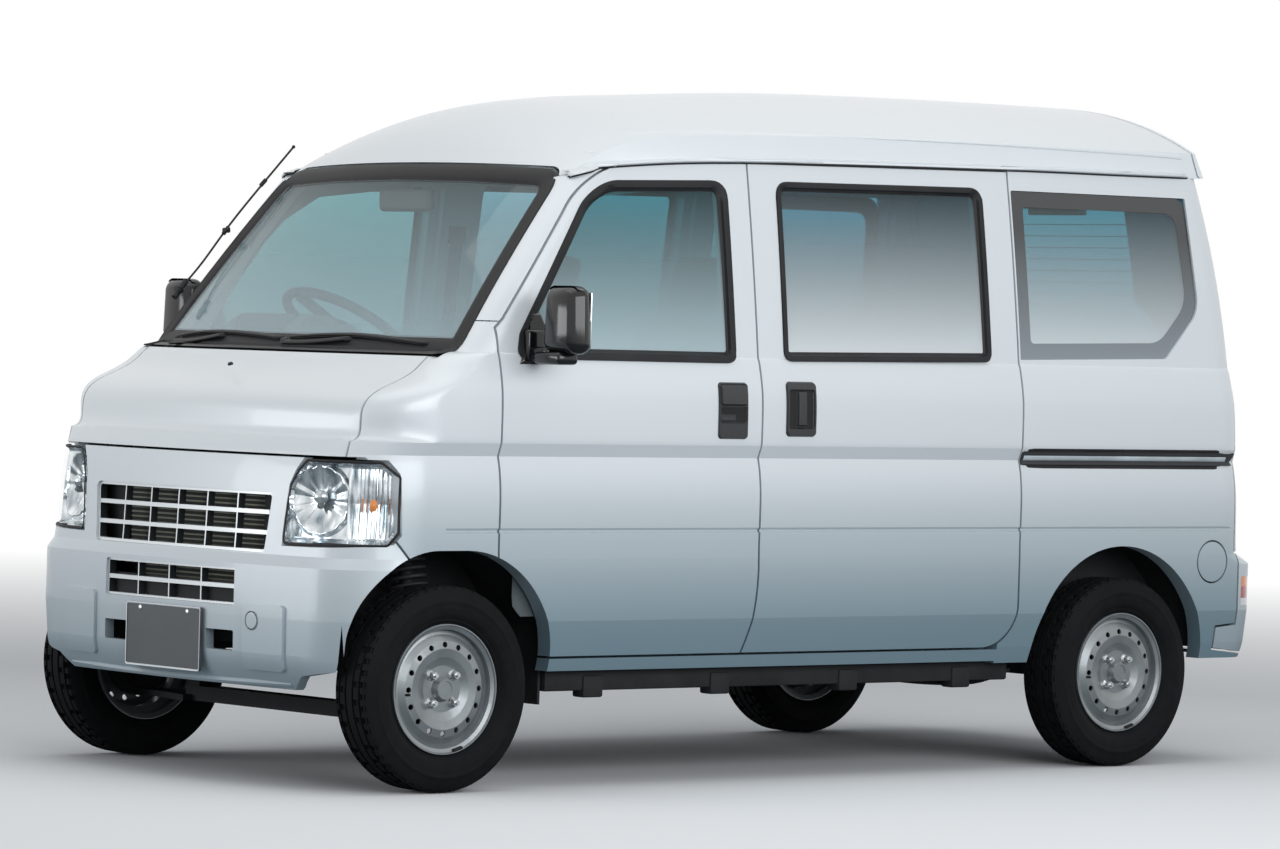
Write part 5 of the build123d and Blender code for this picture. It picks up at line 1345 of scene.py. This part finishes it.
handle = relief((-0.192, 0.900), (0.192, 0.970), 0.0035, tail_handle)
turn_to_tail(handle)
lay_tail(handle, reach=0.0)
finish_mesh("tail_handle", handle, handle_black, "tailgate_body", 35)
rear_wiper = joined(
    ribbon(smooth_path([(-0.05, 1.112), (0.10, 1.150), (0.24, 1.185)]), 0.016, 0.022, 7, 0.0),
    ribbon(smooth_path([(0.02, 1.176), (0.16, 1.190), (0.40, 1.196)]), 0.008, 0.014, 5, 0.0),
)
turn_to_tail(rear_wiper)
lay_tail(rear_wiper, reach=0.0)
cap_profile = [(0.0, 0.024), (0.010, 0.023), (0.018, 0.014), (0.019, 0.0)]
wiper_cap = turned(cap_profile, (-1.612, -0.05, 1.112), 20, (-1, 0, 0))
finish_mesh("rear_wiper", joined(rear_wiper, wiper_cap), wiper_black, "tailgate_body", 40)
stop_lamp = rounded_block((-1.512, -0.115, 1.566), (-1.488, 0.115, 1.592), 0.006, 3)
finish_mesh("high_stop_lamp", stop_lamp, tail_lens, "tailgate_body", 40)

# ---- Seats ----------------------------------------------------------------------------------------
# Foam pads in woven cloth: they are blown up slightly by a cloth simulation, then sewn channels are
# pressed in. Head rests stand on steel posts.


def seat_cloth_finish():
    """Dark grey woven cloth."""
    look = Finish("seat_cloth")
    x, y, z = look.axes()
    weave = ((x * 2100).sine() * (y * 2100).sine() + (z * 2100).sine()) * 0.25 + 0.5
    mottle = look.noise(60, 4.0)
    base = look.blend((mottle * 1.4 - 0.2).limited(), (0.030, 0.036, 0.042), (0.060, 0.068, 0.076))
    shader = look.shade(Base_Color=base, Roughness=0.82 + mottle * 0.1, Specular_IOR_Level=0.2,
                        Normal=look.bump(weave, 0.3, 0.0008))
    return look.done(shader)


seat_cloth = seat_cloth_finish()


seam_width = 0.007
seam_depth = 0.0065
blow_frames = 20


def soft_pad(name, mesh, body, cap, flat_z, seams, voxel=0.012):
    """Blows a block up into a crowned pad, no point moving more than cap, then sews its seams in.

    What lies under flat_z doesn't sag, so that the pad stays on what carries it.
    """
    piece = finish_mesh(name, mesh, seat_cloth, body, 180)
    remesh = piece.modifiers.new("remesh", "REMESH")
    remesh.mode = "VOXEL"
    remesh.voxel_size = voxel
    scene.view_layers[0].update()
    shaped = bpy.data.meshes.new_from_object(piece.evaluated_get(bpy.context.evaluated_depsgraph_get()))
    piece.modifiers.clear()
    piece.data = shaped
    start = [vertex.co.copy() for vertex in shaped.vertices]
    cloth = piece.modifiers.new("cloth", "CLOTH")
    cloth.settings.quality = 4
    cloth.settings.use_pressure = True
    cloth.settings.uniform_pressure_force = 4
    cloth.settings.effector_weights.gravity = 0
    cloth.point_cache.frame_start = 1
    cloth.point_cache.frame_end = blow_frames
    for frame_number in range(1, blow_frames + 1):
        scene.frame_set(frame_number)
    blown = piece.evaluated_get(bpy.context.evaluated_depsgraph_get()).data
    ends = [vertex.co.copy() for vertex in blown.vertices]
    piece.modifiers.clear()
    scene.frame_set(1)
    for vertex, spot, end in zip(shaped.vertices, start, ends):
        move = end - spot
        if move.length > cap:
            move *= cap / move.length
        if spot.z < flat_z:
            move.z = max(move.z, 0.0)
        groove = sum(math.exp(-(seam(spot) / seam_width) ** 2) for seam in seams)
        vertex.co = spot + move - vertex.normal * seam_depth * min(groove, 1.0)
    smoother = piece.modifiers.new("subdivision", "SUBSURF")
    smoother.levels = smoother.render_levels = 1
    for face in shaped.polygons:
        face.use_smooth = True
    shaped.materials.clear()
    shaped.materials.append(seat_cloth)
    return piece


back_lean = math.radians(16)
back_turn = Matrix(((0, -math.sin(back_lean), math.cos(back_lean), 0.388), (1, 0, 0, 0),
                    (0, math.cos(back_lean), math.sin(back_lean), 0.770), (0, 0, 0, 1)))
back_flat = back_turn.inverted()


def leaning_block(low, high, edge, middle):
    """A rounded block given across, up and out from a seat's back, leaned with it and moved to its seat."""
    block = rounded_block(low, high, edge, 5)
    bmesh.ops.transform(block, verts=block.verts, matrix=back_turn)
    bmesh.ops.translate(block, verts=block.verts, vec=(0, middle, 0))
    return block


post_metal = bright_metal("post_metal", (0.55, 0.56, 0.57), 0.15, 0.1)
for side, middle in (("left", 0.345), ("right", -0.345)):
    base = rounded_block((0.392, middle - 0.221, 0.662), (0.814, middle + 0.221, 0.777), 0.038, 5)
    pad = soft_pad(f"seat_cushion_{side}", base, "van_body", 0.011, 0.670,
                   [lambda spot, at=middle: abs(abs(spot.y - at) - 0.135) + max(0.0, 0.70 - spot.z) * 9,
                    lambda spot: abs(spot.x - 0.470) + max(0.0, 0.70 - spot.z) * 9])
    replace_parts(pad, "seat_cushions")
    rest = leaning_block((-0.216, 0.040, -0.088), (0.216, 0.492, -0.012), 0.034, middle)
    pad = soft_pad(f"seat_back_{side}", rest, "van_body", 0.011, 0.0,
                   [lambda spot, at=middle: abs(abs(spot.y - at) - 0.135),
                    lambda spot: abs((back_flat @ spot).y - 0.400)])
    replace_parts(pad, "seat_backs")
    head = leaning_block((-0.126, 0.520, -0.093), (0.126, 0.670, -0.027), 0.030, middle)
    pad = soft_pad(f"head_rest_{side}", head, "van_body", 0.009, 0.0,
                   [lambda spot: abs((back_flat @ spot).z + 0.060)], 0.008)
    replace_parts(pad, "seat_backs")
    posts = joined(*(swept([back_turn @ Vector((across, along, -0.060)) + Vector((0, middle, 0))
                            for along in (0.46, 0.54)], round_section(0.006))
                     for across in (-0.06, 0.06)))
    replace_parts(finish_mesh(f"head_posts_{side}", posts, post_metal, "van_body", 50), "seat_backs")
bench_legs = rounded_block((-0.675, -0.498, 0.6005), (-0.278, 0.498, 0.692), 0.006, 2)
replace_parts(finish_mesh("bench_legs", bench_legs, trim_dark, "van_body", 40), "rear_bench")
for name, low, high, at_x in (("bench_cushion", (-0.690, -0.520, 0.694), (-0.262, 0.520, 0.798), -0.476),
                              ("bench_back", (-0.756, -0.520, 0.722), (-0.690, 0.520, 1.088), 0.0)):
    block = rounded_block(low, high, 0.030, 5)
    pad = soft_pad(name, block, "van_body", 0.010, low[2] + 0.006,
                   [lambda spot: abs(abs(spot.y) - 0.175) if abs(spot.y) < 0.4 else 1.0], 0.014)
    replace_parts(pad, "rear_bench")

# ---- Cabin fittings -------------------------------------------------------------------------------
# Moulded dashboard details, gauge hood, pedals, levers, interior mirror, sun visors, front belts, door
# trims and ribbed floor mats.
gauge_glass = moulded_plastic("gauge_glass", (0.010, 0.011, 0.012), 100, 0.08, 0.0)


air_vents = (((-0.525, 1.045), (0.050, 0.024)), ((0.525, 1.045), (0.050, 0.024)),
             ((0.0, 1.060), (0.085, 0.022)))


def dash_relief(y, z):
    """Air vents, a radio slot and a glove-box lid on the rear of the dashboard."""
    height = 0.0
    for middle, half in air_vents:
        inside = rounded_inside(y, z, middle, half, 0.008)
        slats = 0.006 + 0.0022 * math.cos((z - middle[1]) * 700)
        height += 0.004 * ease(inside + 0.004, 0.004) - slats * ease(inside - 0.003, 0.003)
    height += 0.0035 * ease(rounded_inside(y, z, (0.0, 0.985), (0.092, 0.028), 0.004), 0.003)
    lid = rounded_inside(y, z, (0.345, 0.950), (0.170, 0.052), 0.012)
    return height + 0.003 * ease(lid, 0.006) - 0.003 * ease(0.002 - abs(lid), 0.002)


dash_front = relief((-0.590, 0.885), (0.590, 1.080), 0.0055, dash_relief)
turn_to_tail(dash_front)
lay_on(dash_front, skin_of("dashboard"), (1, 0, 0), 0.0, 0.5)
finish_mesh("dash_fittings", dash_front, cabin_grey, "van_body", 35)
hood = joined(
    rounded_block((1.030, -0.470, 1.165), (1.170, -0.220, 1.214), 0.022, 5, 0.12),
    rounded_block((1.024, -0.455, 1.150), (1.060, -0.235, 1.180), 0.008, 3),
)
finish_mesh("gauge_hood", hood, trim_dark, "van_body", 50)
gauge = rounded_block((1.0225, -0.440, 1.146), (1.0260, -0.250, 1.192), 0.0015, 2)
finish_mesh("gauge_face", gauge, gauge_glass, "van_body", 50)
dress(trim_dark, "steering_wheel")


def rod(points, radius):
    """A bent round bar through points."""
    return swept(smooth_path(points), round_section(radius))


for name, y in (("clutch_pedal", -0.405), ("brake_pedal", -0.330), ("gas_pedal", -0.250)):
    pedal = joined(rounded_block((1.080, y - 0.026, 0.815), (1.092, y + 0.026, 0.868), 0.004, 2),
                   rod([(1.090, y, 0.850), (1.120, y, 0.930), (1.165, y, 0.985)], 0.006))
    finish_mesh(name, pedal, trim_dark, "van_body", 45)
lever = joined(rod([(0.900, -0.060, 0.800), (0.885, -0.062, 0.880), (0.862, -0.066, 0.960)], 0.006),
               ball((0.860, -0.066, 0.975), (0.021, 0.021, 0.026), 10),
               rounded_block((0.855, -0.105, 0.780), (0.955, -0.015, 0.806), 0.010, 3))
finish_mesh("gear_lever", lever, trim_dark, "van_body", 50)
brake_lever = joined(rod([(0.460, -0.030, 0.700), (0.560, -0.030, 0.740), (0.640, -0.030, 0.765)], 0.010),
                     rounded_block((0.430, -0.058, 0.600), (0.560, -0.004, 0.705), 0.010, 3))
finish_mesh("hand_brake", brake_lever, trim_dark, "van_body", 50)
cabin_mirror = joined(rounded_block((0.918, -0.112, 1.496), (0.946, 0.112, 1.560), 0.014, 4),
                      rod([(0.940, 0, 1.545), (0.925, 0, 1.575), (0.900, 0, 1.598)], 0.006))
finish_mesh("cabin_mirror", cabin_mirror, cabin_grey, "van_body", 50)
cabin_silver = rounded_block((0.9165, -0.104, 1.503), (0.9185, 0.104, 1.553), 0.001, 1)
finish_mesh("cabin_mirror_glass", cabin_silver, silver, "van_body", 50)
for side in (-1, 1):
    visor = rounded_block((0.700, side * 0.34 - 0.19, 1.598), (0.872, side * 0.34 + 0.19, 1.612), 0.006, 3)
    finish_mesh(f"sun_visor_{side}", visor, cabin_grey, "van_body", 50)
belt_cloth = coated_steel("belt_web", (0.014, 0.015, 0.016), 0.75, 900, 0.6)
frame_skin = skin_of("body_frame")


def lay_inside(mesh, skin, reach=0.0):
    """Lays a relief given in X and Z on the inner face of the left side."""
    bmesh.ops.scale(mesh, verts=mesh.verts, vec=(1, -1, 1))
    lay_on(mesh, skin, (0, 1, 0), reach, 0.2)


strap = joined(ribbon([(0.285, 1.455 - 0.07 * step) for step in range(11)], 0.046, 0.004, 5, 0.0),
               ribbon([(0.285, 1.425), (0.285, 1.475)], 0.062, 0.014, 5, 0.0),
               ribbon([(0.250, 0.735), (0.320, 0.735)], 0.110, 0.030, 5, 0.0))
lay_inside(strap, frame_skin, 0.01)
both("front_belt", strap, belt_cloth, "van_body", "van_body", 45, "black_plastic")


def door_trim(x, z):
    """Height of a front door's inner trim, with its arm rest, pocket and pull."""
    inside = rounded_inside(x, z, (0.705, 0.770), (0.385, 0.330), 0.06)
    if inside < 0:
        return None
    rest = rounded_inside(x, z, (0.640, 0.905), (0.190, 0.030), 0.02)
    pocket = rounded_inside(x, z, (0.700, 0.560), (0.250, 0.070), 0.03)
    pull = rounded_inside(x, z, (0.905, 0.985), (0.055, 0.022), 0.008)
    return (0.004 + 0.006 * ease(inside, 0.012) + 0.034 * ease(rest, 0.022) + 0.012 * ease(pocket, 0.02)
            - 0.005 * ease(pull, 0.004))


trim_panel = relief((0.318, 0.438), (1.092, 1.102), 0.009, door_trim)
lay_inside(trim_panel, skin_of("front_door_left"))
both("door_trim", trim_panel, cabin_grey, "door_left", "door_right", 45, "cabin_plastic")


def turn_to_floor(mesh):
    """Turns a relief drawn in X and Z so that it lies in X and Y, with its height along Z."""
    rows = Matrix(((1, 0, 0, 0), (0, 0, 1, 0), (0, 1, 0, 0), (0, 0, 0, 1)))
    bmesh.ops.transform(mesh, verts=mesh.verts, matrix=rows)


mat_rubber = coated_steel("mat_rubber", (0.030, 0.032, 0.034), 0.7, 500, 0.4)
floor_skin = skin_of("floor_pan")
for name, low, high in (
    ("load_mat", (-1.430, -0.480), (-0.800, 0.480)),
    ("middle_mat", (-0.200, -0.560), (0.240, 0.560)),
    ("cab_mat_left", (0.850, 0.080), (1.050, 0.520)),
    ("cab_mat_right", (0.850, -0.520), (1.050, -0.140)),
):
    mat = relief(low, high, 0.010, lambda x, y: 0.004 + 0.0016 * math.cos(y * 160))
    turn_to_floor(mat)
    lay_on(mat, floor_skin, (0, 0, -1), 0.0, 1.0)
    finish_mesh(name, mat, mat_rubber, "van_body", 60)

# ---- Under the van --------------------------------------------------------------------------------
# Steel coil springs round the front struts, half shafts with rubber boots, coolant pipes and a brake
# line that run to the nose, a stay with brackets under each sill, and the hand brake's cable.
spring_steel = coated_steel("spring_steel", (0.020, 0.020, 0.022), 0.45, 120, 0.2)
boot_rubber = coated_steel("boot_rubber", (0.008, 0.008, 0.009), 0.7, 300, 0.3)
strut_foot = Vector((1.320, 0.605, 0.184))
strut_way = (Vector((1.320, 0.520, 0.638)) - strut_foot).normalized()
strut_side = strut_way.cross(Vector((1, 0, 0))).normalized()
coil_turns = 5.5
coil_steps = 96
coil_radius = 0.050
coil = []
for step in range(coil_steps + 1):
    share = step / coil_steps
    angle = share * coil_turns * 2 * math.pi
    around = Vector((1, 0, 0)) * math.cos(angle) + strut_side * math.sin(angle)
    coil.append(strut_foot + strut_way * (0.315 + 0.120 * share) + around * coil_radius)
spring = swept(coil, round_section(0.0055, 8))
both("front_spring", spring, spring_steel, "knuckle_left_body", "knuckle_right_body", 60, "steel")
shaft_way = (0, 0.985, -0.10)
bellows = [(0.008 + 0.010 * step, 0.038 - 0.0035 * step + (0.005 if step % 2 else 0.0)) for step in range(7)]
shaft = joined(
    turned([(0.0, 0.0), (0.0, 0.014), (0.240, 0.014), (0.240, 0.0)], (-1.100, 0.330, 0.300), 20, shaft_way),
    turned([(0.0, 0.0), (0.0, 0.040)] + bellows + [(0.080, 0.014), (0.080, 0.0)], (-1.100, 0.325, 0.300), 24,
           shaft_way),
)
both("half_shaft", shaft, boot_rubber, "van_body", "van_body", 45, "black_plastic")
pipe_metal = coated_steel("pipe_metal", (0.10, 0.10, 0.10), 0.45, 200, 0.2)
for name, y, radius in (("coolant_pipe_a", 0.045, 0.014), ("coolant_pipe_b", 0.085, 0.014),
                        ("brake_line", -0.060, 0.004)):
    tube([(1.540, y, 0.425), (1.380, y, 0.360), (1.100, y, 0.345), (-0.300, y, 0.345), (-0.600, y, 0.380)],
         radius, name, pipe_metal, "van_body", 10)
for name, y in (("sill_stay_left", 0.655), ("sill_stay_right", -0.655)):
    stay = joined(
        rounded_block((-0.700, y - 0.018, 0.250), (0.960, y + 0.018, 0.325), 0.006, 2),
        *(rounded_block((x - 0.034, y - 0.024, 0.232), (x + 0.034, y + 0.024, 0.290), 0.006, 2)
          for x in (0.80, 0.36, -0.10, -0.52)),
    )
    finish_mesh(name, stay, under_coat, "van_body", 40)
cable_path = [(-0.160, 0.560, 0.275), (-0.420, 0.600, 0.245), (-0.640, 0.600, 0.240), (-0.790, 0.585, 0.270)]
tube(cable_path, 0.006, "brake_cable", boot_rubber, "van_body", 8)
